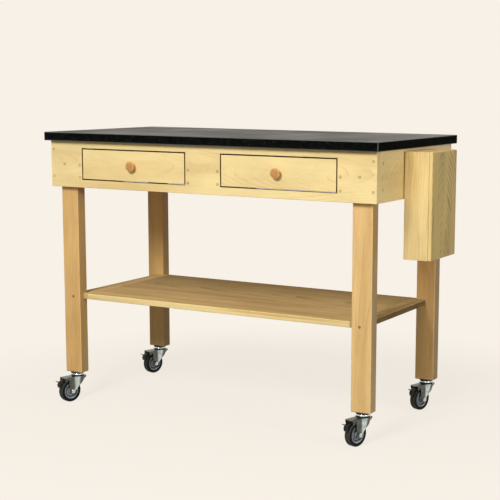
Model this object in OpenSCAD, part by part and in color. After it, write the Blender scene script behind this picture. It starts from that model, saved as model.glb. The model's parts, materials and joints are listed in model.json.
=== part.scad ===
// Kitchen prep table: a stone top on a plugged wooden frame with two inset drawers,
// a low shelf let into the legs, a knife block hung on one end and four braked casters.
// X runs along the table, the drawers open towards -Y, and Z is up from the floor.

/* [Stone top] */
// Height of the worktop above the floor
table_height = 914; // [880:1:960]
// Length of the stone top
top_length = 1219; // [1180:1:1500]
// Depth of the stone top
top_depth = 610; // [590:1:760]
// Thickness of the stone top
top_thickness = 28; // [20:1:40]
// Width of the eased edges of the stone
stone_ease = 1.5; // [0.5:0.1:3]
// How far the stone passes each end of the frame
end_overhang = 12; // [8:1:20]
// How far the stone passes the front and the back of the frame
front_overhang = 20; // [8:1:26]

/* [Frame] */
// Height of the apron boards
apron_height = 152; // [150:1:180]
// Thickness of the apron boards and the drawer fronts
apron_thickness = 22; // [18:0.5:25]
// Width of the eased edges of the apron boards
apron_ease = 1; // [0.4:0.1:2]
// Thickness of the boards beside each drawer
case_thickness = 19; // [15:0.5:22]
// How far the boards beside the drawers stop above the apron's lower edge
case_rise = 6; // [2:1:12]

/* [Legs] */
// Width of a leg along the table
leg_width = 66; // [56:0.5:70]
// Depth of a leg across the table
leg_depth = 40.5; // [34:0.5:46]
// Width of the eased edges of the legs
leg_ease = 2.5; // [1:0.1:4]

/* [Shelf] */
// Height of the shelf's upper face above the floor
shelf_height = 372; // [300:1:500]
// Thickness of the shelf
shelf_thickness = 19; // [16:0.5:25]
// Width of the boards across the ends of the shelf
shelf_end_width = 49; // [42:1:90]
// Width of the eased edges of the shelf
shelf_ease = 1.5; // [0.4:0.1:2.5]
// How far the shelf reaches under a leg's width
shelf_notch_x = 33; // [24:0.5:36]
// How far the shelf reaches under a leg's depth
shelf_notch_y = 19; // [15:0.5:22]

/* [Drawers] */
// Distance from each end of the frame to the nearest drawer opening
opening_margin = 127.5; // [119:0.5:160]
// Width of the wood between the two drawer openings
opening_between = 128; // [80:1:180]
// Height of each drawer opening
opening_height = 104; // [92:0.5:106]
// Height of the rail above each drawer opening
opening_drop = 22.5; // [22:0.5:30]
// Gap round each drawer front
drawer_gap = 3.2; // [1:0.1:3.2]
// Room between the back of a drawer and the back apron board
drawer_back_room = 48; // [30:1:110]
// Thickness of the drawer sides and backs
drawer_side_thickness = 12; // [10:0.5:14]
// Thickness of the drawer bottoms
drawer_bottom_thickness = 6; // [4:0.5:8]
// Room between the top of a drawer's sides and the strips above them
drawer_top_room = 3.2; // [2:0.1:12]
// Room between a drawer side and the board beside it
drawer_side_clearance = 3.4; // [3.2:0.1:4.4]
// Width of the strips that carry and hold down the drawers
guide_width = 16; // [15:0.5:20]
// Height of the strips that carry the drawers
guide_height = 18; // [14:1:19]
// Height of the strips that hold the drawers down
kicker_height = 20; // [12:1:22]
// Height of the stop at the back of each carrying strip
guide_stop_height = 20; // [10:1:30]

/* [Knobs] */
// Diameter of a knob's face
knob_diameter = 32; // [26:1:40]
// How far a knob stands out from its drawer
knob_projection = 19; // [16:1:34]
// Diameter of a knob's neck
knob_neck_diameter = 15; // [12:0.5:20]
// Diameter of the tenon that holds a knob
knob_tenon_diameter = 10; // [8:0.5:11]

/* [Knife block] */
// Thickness of the knife block out from the table
block_thickness = 91; // [80:1:110]
// Width of the knife block along the table's end
block_width = 193; // [160:1:220]
// Height of the knife block
block_height = 328; // [280:1:360]
// Gap between the knife block and the apron
block_gap = 3; // [3:0.1:5]
// Room above the knife block for lifting it off
block_headroom = 8; // [7.5:0.1:10]
// Offset of the knife block's middle towards the back
block_offset = 1.5; // [-20:0.5:20]
// Thickness of the board at the back of the knife block
block_back_thickness = 10; // [9:0.5:14]
// Thickness of the board at the face of the knife block
block_face_thickness = 12; // [9:0.5:16]
// Thickness of the knife slots
slot_thickness = 5; // [4.5:0.1:6]
// Depth of the knife slots below the block's top
slot_depth = 285; // [200:1:290]
// Width of the strips between and beside the knife slots
slot_wall = 14; // [10:1:20]
// Width of the eased edges of the knife block
block_ease = 2; // [0.5:0.1:2.5]

/* [Hanging rails] */
// Thickness of the metal of the hanging rails
rail_metal = 1.35; // [1:0.05:1.4]
// Length of the hanging rails
rail_length = 150; // [100:1:155]
// Height of the half of a rail that lies on the wood
rail_base_height = 22; // [16:1:30]
// Height of the half of a rail that hooks
rail_hook_height = 7; // [5:0.5:7]
// Drop of the rails' middle below the apron's upper edge
rail_drop = 50; // [40:1:70]
// Height of the strip that keeps the block upright
spacer_height = 12; // [8:1:20]

/* [Screws and plugs] */
// Diameter of the wooden plugs over the screws
plug_diameter = 9.5; // [8:0.5:10]
// Length of the wooden plugs
plug_length = 6; // [4:0.5:8]
// Diameter of a screw's head
screw_head_diameter = 8; // [6:0.5:8]
// Height of a screw's head
screw_head_height = 2.5; // [1.5:0.1:3]
// Diameter of a screw's shank
screw_diameter = 4; // [3:0.1:4.5]
// Depth that a screw's tip reaches below the surface
screw_reach = 50; // [42:1:52]

/* [Casters] */
// Height from the floor to the underside of the legs
caster_height = 100; // [97:0.5:104]
// Diameter of a wheel
wheel_diameter = 75; // [68:0.5:76]
// Width of a tyre
tyre_width = 24; // [20:0.5:25]
// Thickness of a tyre's rubber
tyre_thickness = 9; // [7:0.5:12]
// Rounding of a tyre's shoulders
tyre_shoulder = 5; // [3:0.5:6]
// Width of a hub over its middle boss
hub_width = 26; // [25.5:0.5:27]
// Distance from the swivel's axis back to the axle
caster_trail = 33; // [30:0.5:34]
// Diameter of an axle
axle_diameter = 8; // [6:0.5:10]
// Thickness of a fork's steel
fork_metal = 2.5; // [2:0.1:2.6]
// Distance between a fork's two cheeks
fork_inside = 28; // [27.5:0.5:30]
// Diameter of a fork's round crown
crown_diameter = 50; // [48:1:56]
// Diameter of the collar under a leg
collar_diameter = 46; // [40:1:48]
// Diameter of the bright bearing race
race_diameter = 44; // [38:1:46]
// Diameter of a caster's stem
stem_diameter = 12; // [10:0.5:14]
// Length of the stem inside a leg
stem_length = 45; // [30:1:60]
// Turn of the casters, negative towards the front
caster_turn = -17; // [-30:1:0]
// Reach of a brake pedal behind the swivel's axis
pedal_reach = 84.8; // [80:0.1:90]
// Width of a brake pedal
pedal_width = 14; // [12:0.5:25]

/* [Hidden] */
$fn = 48;
running_clearance = 0.3;
fit_clearance = 0.05;
joint_clearance = 0.1;
axle_hex = 13;
axle_head_height = 5;
axle_nut_height = 6.5;
axle_tail = 2;

// The frame, worked out from the stone top
frame_x = top_length / 2 - end_overhang;
frame_y = top_depth / 2 - front_overhang;
apron_top = table_height - top_thickness;
apron_bottom = apron_top - apron_height;
inside_x = frame_x - apron_thickness;
inside_y = frame_y - apron_thickness;
leg_x = inside_x - leg_width / 2;
leg_y = inside_y - leg_depth / 2;

// The shelf, whose corners lie in the legs' notches
shelf_x = inside_x - leg_width + shelf_notch_x;
shelf_y = inside_y - leg_depth + shelf_notch_y;
shelf_bottom = shelf_height - shelf_thickness;
shelf_middle = shelf_height - shelf_thickness / 2;

// The drawers and what carries them
opening_width = frame_x - opening_margin - opening_between / 2;
opening_x = (opening_between + opening_width) / 2;
opening_top = apron_top - opening_drop;
opening_bottom = opening_top - opening_height;
case_inner = opening_width / 2;
case_bottom = apron_bottom + case_rise;
front_width = opening_width - 2 * drawer_gap;
front_height = opening_height - 2 * drawer_gap;
drawer_bottom = opening_bottom + drawer_gap;
drawer_side_top = opening_top - drawer_top_room;
drawer_half = case_inner - drawer_side_clearance;
drawer_start = -frame_y + apron_thickness;
drawer_end = inside_y - drawer_back_room;
groove_depth = drawer_side_thickness / 2;
groove_bottom = drawer_bottom + 6;
groove_top = groove_bottom + drawer_bottom_thickness + joint_clearance;
guide_top = drawer_bottom - running_clearance;
knob_z = opening_bottom + opening_height / 2;

// The knife block on the right-hand end
block_x = frame_x + block_gap;
block_top = apron_top - block_headroom;
block_bottom = block_top - block_height;
core_thickness = (block_thickness - block_back_thickness - block_face_thickness - 3 * slot_thickness) / 2;
slot_x = [for (layer = [0:2]) block_back_thickness + layer * (slot_thickness + core_thickness)];
slot_width = (block_width - 3 * slot_wall) / 2;
rail_z = apron_top - rail_drop;
spacer_z = apron_bottom + spacer_height;

// Screws, each a place along a face and a height
end_screw_x = frame_x - apron_thickness / 2;
end_screw_z = [apron_top - 28.5, apron_bottom + 34];
leg_screw_z = apron_bottom + 76;
side_screw_z = [apron_top - 36, apron_bottom + 38];
case_screw_z = [apron_bottom + 74, apron_bottom + 33.5];
shelf_screw_x = leg_x - 6;
front_screws = [
    for (side = [-1, 1]) each [
        for (z = end_screw_z) [side * end_screw_x, z],
        [side * leg_x, leg_screw_z],
        for (edge = [-1, 1], z = case_screw_z)
            [side * opening_x + edge * (case_inner + case_thickness / 2), z]
    ]
];
side_screws = [for (side = [-1, 1], z = side_screw_z) [side * leg_y, z]];
shelf_screws = [for (side = [-1, 1]) [side * shelf_screw_x, shelf_middle]];
counterbore_depth = plug_length + screw_head_height;

// Casters: t runs back from the swivel's axis and z up from the floor
wheel_radius = wheel_diameter / 2;
rim_radius = wheel_radius - tyre_thickness;
race_bottom = caster_height - 12.2;
race_top = caster_height - 3.5;
crown_top = caster_height - 14.5;
crown_bottom = crown_top - fork_metal - 0.5;
lower_cup_top = race_bottom - running_clearance;
kingpin_radius = 5;
rivet_radius = 8;
rivet_height = 2.5;
cheek_outside = fork_inside / 2 + fork_metal;
cheek_front = -18;
cheek_back = 45;
boss_radius = 10;
bell_radius = crown_diameter / 2 - 1;
bell_foot_radius = fork_inside / 2 + 1;
bell_bottom = wheel_radius + 2.5;
pedal_pin = [55, crown_bottom - 5];
pedal_pin_radius = 2;
pedal_eye_radius = 4;
ear_radius = 5.5;
hood_back = pedal_pin[0] + ear_radius;

// The origin is below the middle of the whole table's box
pedal_front = leg_y + pedal_reach * cos(caster_turn) + pedal_width / 2 * sin(-caster_turn);
centre_x = (block_x + block_thickness - top_length / 2) / 2;
centre_y = (top_depth / 2 - max(pedal_front, top_depth / 2)) / 2;

CORNERS = [
    ["front_left", -1, -1],
    ["front_right", 1, -1],
    ["back_left", -1, 1],
    ["back_right", 1, 1]
];
DRAWERS = [["left", -1], ["right", 1]];
DRAWER_PARTS = ["front", "left_side", "right_side", "back", "bottom", "knob"];
CASTER_PARTS = ["stem", "fork", "axle", "hub", "tyre", "brake"];

NODES = concat(
    ["stone_top", "front_apron", "back_apron", "left_apron", "right_apron"],
    ["shelf_panel", "shelf_end_boards", "drawer_guides", "wood_screws", "screw_plugs"],
    ["block_back_board", "block_core_boards", "block_slot_strips", "block_face_board"],
    ["block_hanging_rail", "apron_hanging_rail"],
    [for (corner = CORNERS) str(corner[0], "_leg")],
    [for (drawer = DRAWERS, edge = DRAWERS) str(drawer[0], "_drawer_case_", edge[0])],
    [for (drawer = DRAWERS, piece = DRAWER_PARTS) str(drawer[0], "_drawer_", piece)],
    [for (corner = CORNERS, piece = CASTER_PARTS) str(corner[0], "_caster_", piece)]
);
node = "all";

function shows(name) = node == "all" || node == name;

module placed() {
    translate([-centre_x, -centre_y, 0]) children();
}

// A rectangle whose corners are cut off by ease
module eased_outline(width, height, ease) {
    polygon([
        [ease, 0], [width - ease, 0], [width, ease], [width, height - ease],
        [width - ease, height], [ease, height], [0, height - ease], [0, ease]
    ]);
}

// A board from its low corner, with all twelve edges eased
module board(low, high, ease) {
    size = high - low;
    translate(low) intersection() {
        linear_extrude(size.z) eased_outline(size.x, size.y, ease);
        translate([0, size.y, 0]) rotate([90, 0, 0]) linear_extrude(size.y)
            eased_outline(size.x, size.z, ease);
        rotate([90, 0, 90]) linear_extrude(size.x) eased_outline(size.y, size.z, ease);
    }
}

// A plain block between two corners
module block(low, high) {
    translate(low) cube(high - low);
}

// Screw places on the front or back face of the frame or legs, pointing into the wood
module at_face(spots, side, surface) {
    for (spot = spots)
        translate([spot[0], side * surface, spot[1]]) rotate([90 * side, 0, 0]) children();
}

// Screw places on the left or right face of the frame, pointing into the wood
module at_end(spots, side) {
    for (spot = spots)
        translate([side * frame_x, spot[0], spot[1]]) rotate([0, -90 * side, 0]) children();
}

// Every screw place of the table
module at_all_screws() {
    for (side = [-1, 1]) {
        at_face(front_screws, side, frame_y) children();
        at_end(side_screws, side) children();
        at_face(shelf_screws, side, inside_y) children();
    }
}

module screw_bore() {
    bore_start = -1;
    translate([0, 0, bore_start]) cylinder(d = plug_diameter, h = counterbore_depth - bore_start);
    cylinder(d = screw_diameter + 2 * joint_clearance, h = screw_reach + 1);
}

module wood_screw() {
    head_seat = counterbore_depth - screw_head_height;
    translate([0, 0, head_seat]) cylinder(d = screw_head_diameter, h = screw_head_height);
    translate([0, 0, counterbore_depth]) cylinder(d = screw_diameter, h = screw_reach - counterbore_depth);
}

module screw_plug() {
    cylinder(d = plug_diameter, h = plug_length);
}

module stone_top() {
    color("#2b2d2c") board(
        [-top_length / 2, -top_depth / 2, apron_top],
        [top_length / 2, top_depth / 2, table_height],
        stone_ease
    );
}

module front_apron() {
    color("#ecd394") difference() {
        board([-frame_x, -frame_y, apron_bottom], [frame_x, -inside_y, apron_top], apron_ease);
        for (drawer = DRAWERS)
            translate([drawer[1] * opening_x, 0, 0])
                block([-case_inner, -frame_y - 1, opening_bottom], [case_inner, -inside_y + 1, opening_top]);
        at_face(front_screws, -1, frame_y) screw_bore();
    }
}

module back_apron() {
    color("#ecd394") difference() {
        board([-frame_x, inside_y, apron_bottom], [frame_x, frame_y, apron_top], apron_ease);
        at_face(front_screws, 1, frame_y) screw_bore();
    }
}

// Sits between the front and back boards at one end
module end_apron(side) {
    outer = side * frame_x;
    inner = side * inside_x;
    color("#d9bd7c") difference() {
        board(
            [min(outer, inner), -inside_y, apron_bottom],
            [max(outer, inner), inside_y, apron_top],
            apron_ease
        );
        at_end(side_screws, side) screw_bore();
        for (face = [-1, 1]) at_face(front_screws, face, frame_y) screw_bore();
    }
}

module leg(corner) {
    side = corner[1];
    face = corner[2];
    color("#d8ab68") difference() {
        translate([side * leg_x, face * leg_y, 0]) board(
            [-leg_width / 2, -leg_depth / 2, caster_height],
            [leg_width / 2, leg_depth / 2, apron_top],
            leg_ease
        );
        block(
            [-shelf_x, -shelf_y, shelf_bottom] - joint_clearance * [1, 1, 1],
            [shelf_x, shelf_y, shelf_height] + joint_clearance * [1, 1, 1]
        );
        at_face(front_screws, face, frame_y) screw_bore();
        at_end(side_screws, side) screw_bore();
        at_face(shelf_screws, face, inside_y) screw_bore();
        translate([side * leg_x, face * leg_y, caster_height - 1])
            cylinder(d = stem_diameter + 2 * joint_clearance, h = stem_length + 1.5);
    }
}

module shelf_panel() {
    reach = shelf_x - shelf_end_width;
    color("#b8965e") board([-reach, -shelf_y, shelf_bottom], [reach, shelf_y, shelf_height], shelf_ease);
}

module shelf_end_boards() {
    color("#c59a5c") difference() {
        for (side = [-1, 1])
            translate([side * (shelf_x - shelf_end_width / 2), 0, 0]) board(
                [-shelf_end_width / 2, -shelf_y, shelf_bottom],
                [shelf_end_width / 2, shelf_y, shelf_height],
                shelf_ease
            );
        for (face = [-1, 1]) at_face(shelf_screws, face, inside_y) screw_bore();
    }
}

// A board that runs from front to back beside a drawer
module drawer_case_side(drawer, edge) {
    middle = drawer[1] * opening_x + edge[1] * (case_inner + case_thickness / 2);
    color("#dcc48c") difference() {
        translate([middle, 0, 0]) board(
            [-case_thickness / 2, -inside_y, case_bottom],
            [case_thickness / 2, inside_y, apron_top],
            apron_ease
        );
        for (face = [-1, 1]) at_face(front_screws, face, frame_y) screw_bore();
    }
}

// Carrying strips with a stop at the back, and strips that hold the drawers down
module drawer_guides() {
    stop_start = drawer_end + running_clearance;
    color("#c9ab70") for (drawer = DRAWERS, edge = DRAWERS)
        translate([drawer[1] * opening_x, 0, 0]) mirror([edge[1] < 0 ? 1 : 0, 0, 0]) {
            inner = case_inner - guide_width;
            block([inner, -inside_y, guide_top - guide_height], [case_inner, inside_y, guide_top]);
            block([inner, stop_start, guide_top], [case_inner, inside_y, guide_top + guide_stop_height]);
            block([inner, -inside_y, opening_top], [case_inner, inside_y, opening_top + kicker_height]);
        }
}

module wood_screws() {
    color("#a8a295") at_all_screws() wood_screw();
}

module screw_plugs() {
    color("#b98a4c") at_all_screws() screw_plug();
}

module drawer_front() {
    color("#efd79b") difference() {
        board(
            [-front_width / 2, -frame_y, drawer_bottom],
            [front_width / 2, drawer_start, drawer_bottom + front_height],
            apron_ease
        );
        block(
            [-drawer_half + groove_depth, drawer_start - groove_depth, groove_bottom],
            [drawer_half - groove_depth, drawer_start + 1, groove_top]
        );
        translate([0, drawer_start + 1, knob_z]) rotate([90, 0, 0])
            cylinder(d = knob_tenon_diameter + 2 * joint_clearance, h = apron_thickness + 2);
    }
}

module drawer_side(edge) {
    outer = edge * drawer_half;
    inner = edge * (drawer_half - drawer_side_thickness);
    groove = edge * (drawer_half - drawer_side_thickness + groove_depth);
    color("#dcc48c") difference() {
        block(
            [min(outer, inner), drawer_start, drawer_bottom],
            [max(outer, inner), drawer_end, drawer_side_top]
        );
        block(
            [min(groove, inner - edge), drawer_start - 1, groove_bottom],
            [max(groove, inner - edge), drawer_end + 1, groove_top]
        );
    }
}

// Stands on the bottom panel, between the sides
module drawer_back() {
    reach = drawer_half - drawer_side_thickness;
    color("#dcc48c") block(
        [-reach, drawer_end - drawer_side_thickness, groove_top],
        [reach, drawer_end, drawer_side_top]
    );
}

module drawer_bottom_panel() {
    reach = drawer_half - drawer_side_thickness + groove_depth - joint_clearance;
    color("#e3cfa0") block(
        [-reach, drawer_start - groove_depth + joint_clearance, groove_bottom],
        [reach, drawer_end, groove_bottom + drawer_bottom_thickness]
    );
}

// A turned knob: a domed face, a waist, a flared foot and a tenon through the front
module drawer_knob() {
    face_radius = knob_diameter / 2;
    neck_radius = knob_neck_diameter / 2;
    rim = 5;
    dome = 3;
    foot = 3;
    foot_top = foot + 1;
    waist = knob_projection - dome - rim - foot_top;
    arc_steps = 8;
    dome_points = [
        for (i = [0:arc_steps]) let (angle = 90 * i / arc_steps)
            [face_radius * cos(angle), knob_projection - dome + dome * sin(angle)]
    ];
    under_points = [
        for (i = [0:arc_steps]) let (angle = 90 * i / arc_steps)
            [
                neck_radius + (face_radius - neck_radius) * (1 - cos(angle)),
                foot_top + waist * sin(angle)
            ]
    ];
    color("#cf9a5a") translate([0, -frame_y, knob_z]) rotate([90, 0, 0]) {
        rotate_extrude() polygon(concat(
            [[0, 0], [neck_radius + foot, 0], [neck_radius + foot, 1]],
            under_points,
            dome_points
        ));
        translate([0, 0, -apron_thickness]) cylinder(d = knob_tenon_diameter, h = apron_thickness);
    }
}

module in_block() {
    translate([block_x, block_offset, 0]) children();
}

module block_back_board() {
    color("#d8bd80") in_block() board(
        [0, -block_width / 2, block_bottom],
        [block_back_thickness, block_width / 2, block_top],
        0.4
    );
}

module block_core_boards() {
    color("#e6cb8a") in_block() for (layer = [0, 1]) {
        start = slot_x[layer] + slot_thickness;
        board(
            [start, -block_width / 2, block_bottom],
            [start + core_thickness, block_width / 2, block_top],
            0.4
        );
    }
}

// Three layers of strips that leave two knife slots in each layer
module block_slot_strips() {
    color("#d2b071") in_block() for (start = slot_x) {
        for (i = [0:2]) {
            low = -block_width / 2 + i * (slot_wall + slot_width);
            block([start, low, block_bottom], [start + slot_thickness, low + slot_wall, block_top]);
        }
        for (i = [0, 1]) {
            low = -block_width / 2 + slot_wall + i * (slot_wall + slot_width);
            block(
                [start, low, block_bottom],
                [start + slot_thickness, low + slot_width, block_top - slot_depth]
            );
        }
    }
}

module block_face_board() {
    color("#a8925c") in_block() board(
        [block_thickness - block_face_thickness, -block_width / 2, block_bottom],
        [block_thickness, block_width / 2, block_top],
        block_ease
    );
}

// The apron's rail seen from its end: a base on the wood and a hook that stands off it
module apron_rail_outline() {
    hook_room = block_gap - rail_metal - joint_clearance;
    polygon([
        [0, -rail_base_height], [rail_metal, -rail_base_height], [rail_metal, -rail_metal],
        [hook_room + rail_metal, -rail_metal], [hook_room + rail_metal, rail_hook_height],
        [hook_room, rail_hook_height], [hook_room, 0], [0, 0]
    ]);
}

// The block's rail, upside down: its hook drops behind the apron's hook
module block_rail_outline() {
    web = rail_hook_height + running_clearance;
    hook = joint_clearance;
    polygon([
        [hook, 0], [hook + rail_metal, 0], [hook + rail_metal, web], [block_gap, web],
        [block_gap, web + rail_base_height], [block_gap - rail_metal, web + rail_base_height],
        [block_gap - rail_metal, web + rail_metal], [hook, web + rail_metal]
    ]);
}

// Runs an outline, drawn out from the apron's face and up, along the rails' length
module along_rails() {
    translate([frame_x, block_offset + rail_length / 2, rail_z])
        rotate([90, 0, 0]) linear_extrude(rail_length) children();
}

module apron_hanging_rail() {
    color("#c3c6c8") along_rails() apron_rail_outline();
}

// The rail that the block hangs by, and a strip that keeps the block upright
module block_hanging_rail() {
    color("#c3c6c8") {
        along_rails() block_rail_outline();
        block(
            [frame_x + running_clearance, block_offset - rail_length / 2, spacer_z],
            [block_x, block_offset + rail_length / 2, spacer_z + spacer_height]
        );
    }
}

// Moves a caster from its own axis to its leg, turned as it stands
module at_corner(corner) {
    translate([corner[1] * leg_x, corner[2] * leg_y, 0]) rotate(caster_turn) children();
}

// Extrudes an outline drawn in t and z, from x = high downwards
module across(high, width) {
    translate([high, 0, 0]) rotate([90, 0, -90]) linear_extrude(width) children();
}

// A round bar along the axle's direction at a point in t and z
module cross_bar(spot, radius, low, high, sides = 48) {
    translate([low, -spot[0], spot[1]]) rotate([0, 90, 0]) cylinder(r = radius, h = high - low, $fn = sides);
}

module caster_stem() {
    color("#b9bec2") {
        translate([0, 0, caster_height]) cylinder(d = stem_diameter, h = stem_length);
        translate([0, 0, race_top]) cylinder(d = collar_diameter, h = caster_height - race_top);
        translate([0, 0, race_bottom]) cylinder(d = race_diameter, h = race_top - race_bottom);
        translate([0, 0, crown_bottom - running_clearance])
            cylinder(r = kingpin_radius, h = race_bottom - crown_bottom + running_clearance);
        translate([0, 0, crown_bottom - running_clearance - rivet_height])
            cylinder(r = rivet_radius, h = rivet_height);
    }
}

// A fork from the side: it narrows down to the axle and ends in an ear for the pedal's pin
module cheek_outline() {
    axle_z = wheel_radius;
    ear_front = pedal_pin[0] - ear_radius;
    polygon([
        [-bell_radius, crown_top], [hood_back, crown_top], [hood_back, pedal_pin[1]],
        [ear_front, pedal_pin[1]], [ear_front, crown_bottom - 2], [cheek_back, crown_bottom - 4],
        [caster_trail + boss_radius - 0.4, axle_z + 2], [caster_trail - boss_radius + 1, axle_z - 4],
        [cheek_front, crown_bottom - 6], [-bell_radius, crown_bottom - 2]
    ]);
    translate([caster_trail, axle_z]) circle(r = boss_radius);
    translate(pedal_pin) circle(r = ear_radius);
}

// The round upper part of a fork, which tapers into the cheeks
module fork_bell(inset, top) {
    taper = (bell_radius - bell_foot_radius) / (crown_top - bell_bottom);
    height = top - bell_bottom;
    foot = bell_foot_radius - inset;
    translate([0, 0, bell_bottom]) cylinder(r1 = foot, r2 = foot + taper * height, h = height);
}

// Two cheeks that swell into the bell, with room for the wheel between them
module fork_walls() {
    reach = 2 * hood_back;
    difference() {
        union() {
            block([-cheek_outside, -hood_back, 0], [cheek_outside, bell_radius, crown_top]);
            fork_bell(0, crown_top);
        }
        fork_bell(fork_metal, crown_top + 1);
        block([-fork_inside / 2, -reach, -1], [fork_inside / 2, reach, crown_top + 1]);
    }
}

module caster_fork() {
    axle_spot = [caster_trail, wheel_radius];
    color("#8d9294") difference() {
        union() {
            translate([0, 0, crown_bottom]) linear_extrude(crown_top - crown_bottom) {
                circle(d = crown_diameter);
                translate([-cheek_outside, -hood_back])
                    square([2 * cheek_outside, hood_back - cheek_front]);
            }
            translate([0, 0, crown_top]) cylinder(d = race_diameter - 2, h = lower_cup_top - crown_top);
            intersection() {
                fork_walls();
                across(bell_radius, 2 * bell_radius) cheek_outline();
            }
        }
        translate([0, 0, crown_bottom - 1])
            cylinder(r = kingpin_radius + fit_clearance, h = lower_cup_top - crown_bottom + 2);
        cross_bar(axle_spot, axle_diameter / 2 + fit_clearance, -cheek_outside - 1, cheek_outside + 1);
        cross_bar(pedal_pin, pedal_pin_radius + fit_clearance, -cheek_outside - 1, cheek_outside + 1);
    }
}

module caster_axle() {
    spot = [caster_trail, wheel_radius];
    hex_radius = axle_hex / 2 / cos(30);
    head_end = -cheek_outside - axle_head_height;
    nut_end = cheek_outside + axle_nut_height;
    color("#c9ccce") {
        cross_bar(spot, axle_diameter / 2, -cheek_outside, nut_end + axle_tail);
        cross_bar(spot, hex_radius, head_end, -cheek_outside, 6);
        difference() {
            cross_bar(spot, hex_radius, cheek_outside, nut_end, 6);
            cross_bar(spot, axle_diameter / 2, cheek_outside - 1, nut_end + 1);
        }
    }
}

// A wheel part turned from its outline in radius and half-width
module turned_wheel() {
    translate([0, -caster_trail, wheel_radius]) rotate([0, 90, 0]) rotate_extrude($fn = 96) children();
}

module caster_hub() {
    bore = axle_diameter / 2 + fit_clearance;
    boss = bore + 6;
    web = 5;
    rim_inner = rim_radius - 6;
    rim_half = tyre_width / 2 - 1.5;
    half = [[bore, hub_width / 2], [boss, hub_width / 2], [boss, web], [rim_inner, web],
        [rim_inner, rim_half], [rim_radius, rim_half]];
    back = [for (i = [len(half) - 1:-1:0]) [half[i][0], -half[i][1]]];
    color("#7e878b") turned_wheel() polygon(concat(half, back));
}

module caster_tyre() {
    half_width = tyre_width / 2;
    steps = 6;
    shoulder = [
        for (i = [0:steps]) let (angle = 90 * i / steps)
            [
                wheel_radius - tyre_shoulder + tyre_shoulder * sin(angle),
                half_width - tyre_shoulder + tyre_shoulder * cos(angle)
            ]
    ];
    back = [for (i = [steps:-1:0]) [shoulder[i][0], -shoulder[i][1]]];
    inner = rim_radius + fit_clearance;
    color("#2e3132") turned_wheel()
        polygon(concat([[inner, half_width - 1]], [[inner + 1, half_width]], shoulder, back,
            [[inner + 1, -half_width]], [[inner, 1 - half_width]]));
}

module caster_brake() {
    pin_t = pedal_pin[0];
    pin_z = pedal_pin[1];
    color("#26282a") {
        cross_bar(pedal_pin, pedal_pin_radius, -cheek_outside, cheek_outside);
        across(pedal_width / 2, pedal_width) {
            translate(pedal_pin) circle(r = pedal_eye_radius);
            polygon([
                [pin_t, pin_z + pedal_eye_radius], [pin_t + 9, pin_z + 1.5], [pin_t + 17, pin_z - 4],
                [pedal_reach - 0.8, pin_z], [pedal_reach, pin_z - 1.8], [pin_t + 20.5, pin_z - 8],
                [pin_t + 23.5, pin_z - 14], [pin_t + 22, pin_z - 23.5], [pin_t + 20, pin_z - 24.5],
                [pin_t + 17, pin_z - 15], [pin_t + 12.5, pin_z - 7], [pin_t, pin_z - pedal_eye_radius]
            ]);
        }
    }
}

if (shows("stone_top")) placed() stone_top();
if (shows("front_apron")) placed() front_apron();
if (shows("back_apron")) placed() back_apron();
if (shows("left_apron")) placed() end_apron(-1);
if (shows("right_apron")) placed() end_apron(1);
if (shows("shelf_panel")) placed() shelf_panel();
if (shows("shelf_end_boards")) placed() shelf_end_boards();
if (shows("drawer_guides")) placed() drawer_guides();
if (shows("wood_screws")) placed() wood_screws();
if (shows("screw_plugs")) placed() screw_plugs();
if (shows("block_back_board")) placed() block_back_board();
if (shows("block_core_boards")) placed() block_core_boards();
if (shows("block_slot_strips")) placed() block_slot_strips();
if (shows("block_face_board")) placed() block_face_board();
if (shows("block_hanging_rail")) placed() block_hanging_rail();
if (shows("apron_hanging_rail")) placed() apron_hanging_rail();

for (corner = CORNERS) {
    if (shows(str(corner[0], "_leg"))) placed() leg(corner);
    if (shows(str(corner[0], "_caster_stem"))) placed() at_corner(corner) caster_stem();
    if (shows(str(corner[0], "_caster_fork"))) placed() at_corner(corner) caster_fork();
    if (shows(str(corner[0], "_caster_axle"))) placed() at_corner(corner) caster_axle();
    if (shows(str(corner[0], "_caster_hub"))) placed() at_corner(corner) caster_hub();
    if (shows(str(corner[0], "_caster_tyre"))) placed() at_corner(corner) caster_tyre();
    if (shows(str(corner[0], "_caster_brake"))) placed() at_corner(corner) caster_brake();
}

for (drawer = DRAWERS) {
    name = str(drawer[0], "_drawer_");
    spot = [drawer[1] * opening_x, 0, 0];
    for (edge = DRAWERS)
        if (shows(str(name, "case_", edge[0]))) placed() drawer_case_side(drawer, edge);
    if (shows(str(name, "front"))) placed() translate(spot) drawer_front();
    if (shows(str(name, "left_side"))) placed() translate(spot) drawer_side(-1);
    if (shows(str(name, "right_side"))) placed() translate(spot) drawer_side(1);
    if (shows(str(name, "back"))) placed() translate(spot) drawer_back();
    if (shows(str(name, "bottom"))) placed() translate(spot) drawer_bottom_panel();
    if (shows(str(name, "knob"))) placed() translate(spot) drawer_knob();
}
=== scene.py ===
"""Dresses a packed kitchen prep table: stone, wood and casters, in a plain pale studio."""
import json
import math

import bmesh
import bpy
from mathutils import Matrix, Vector

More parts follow.
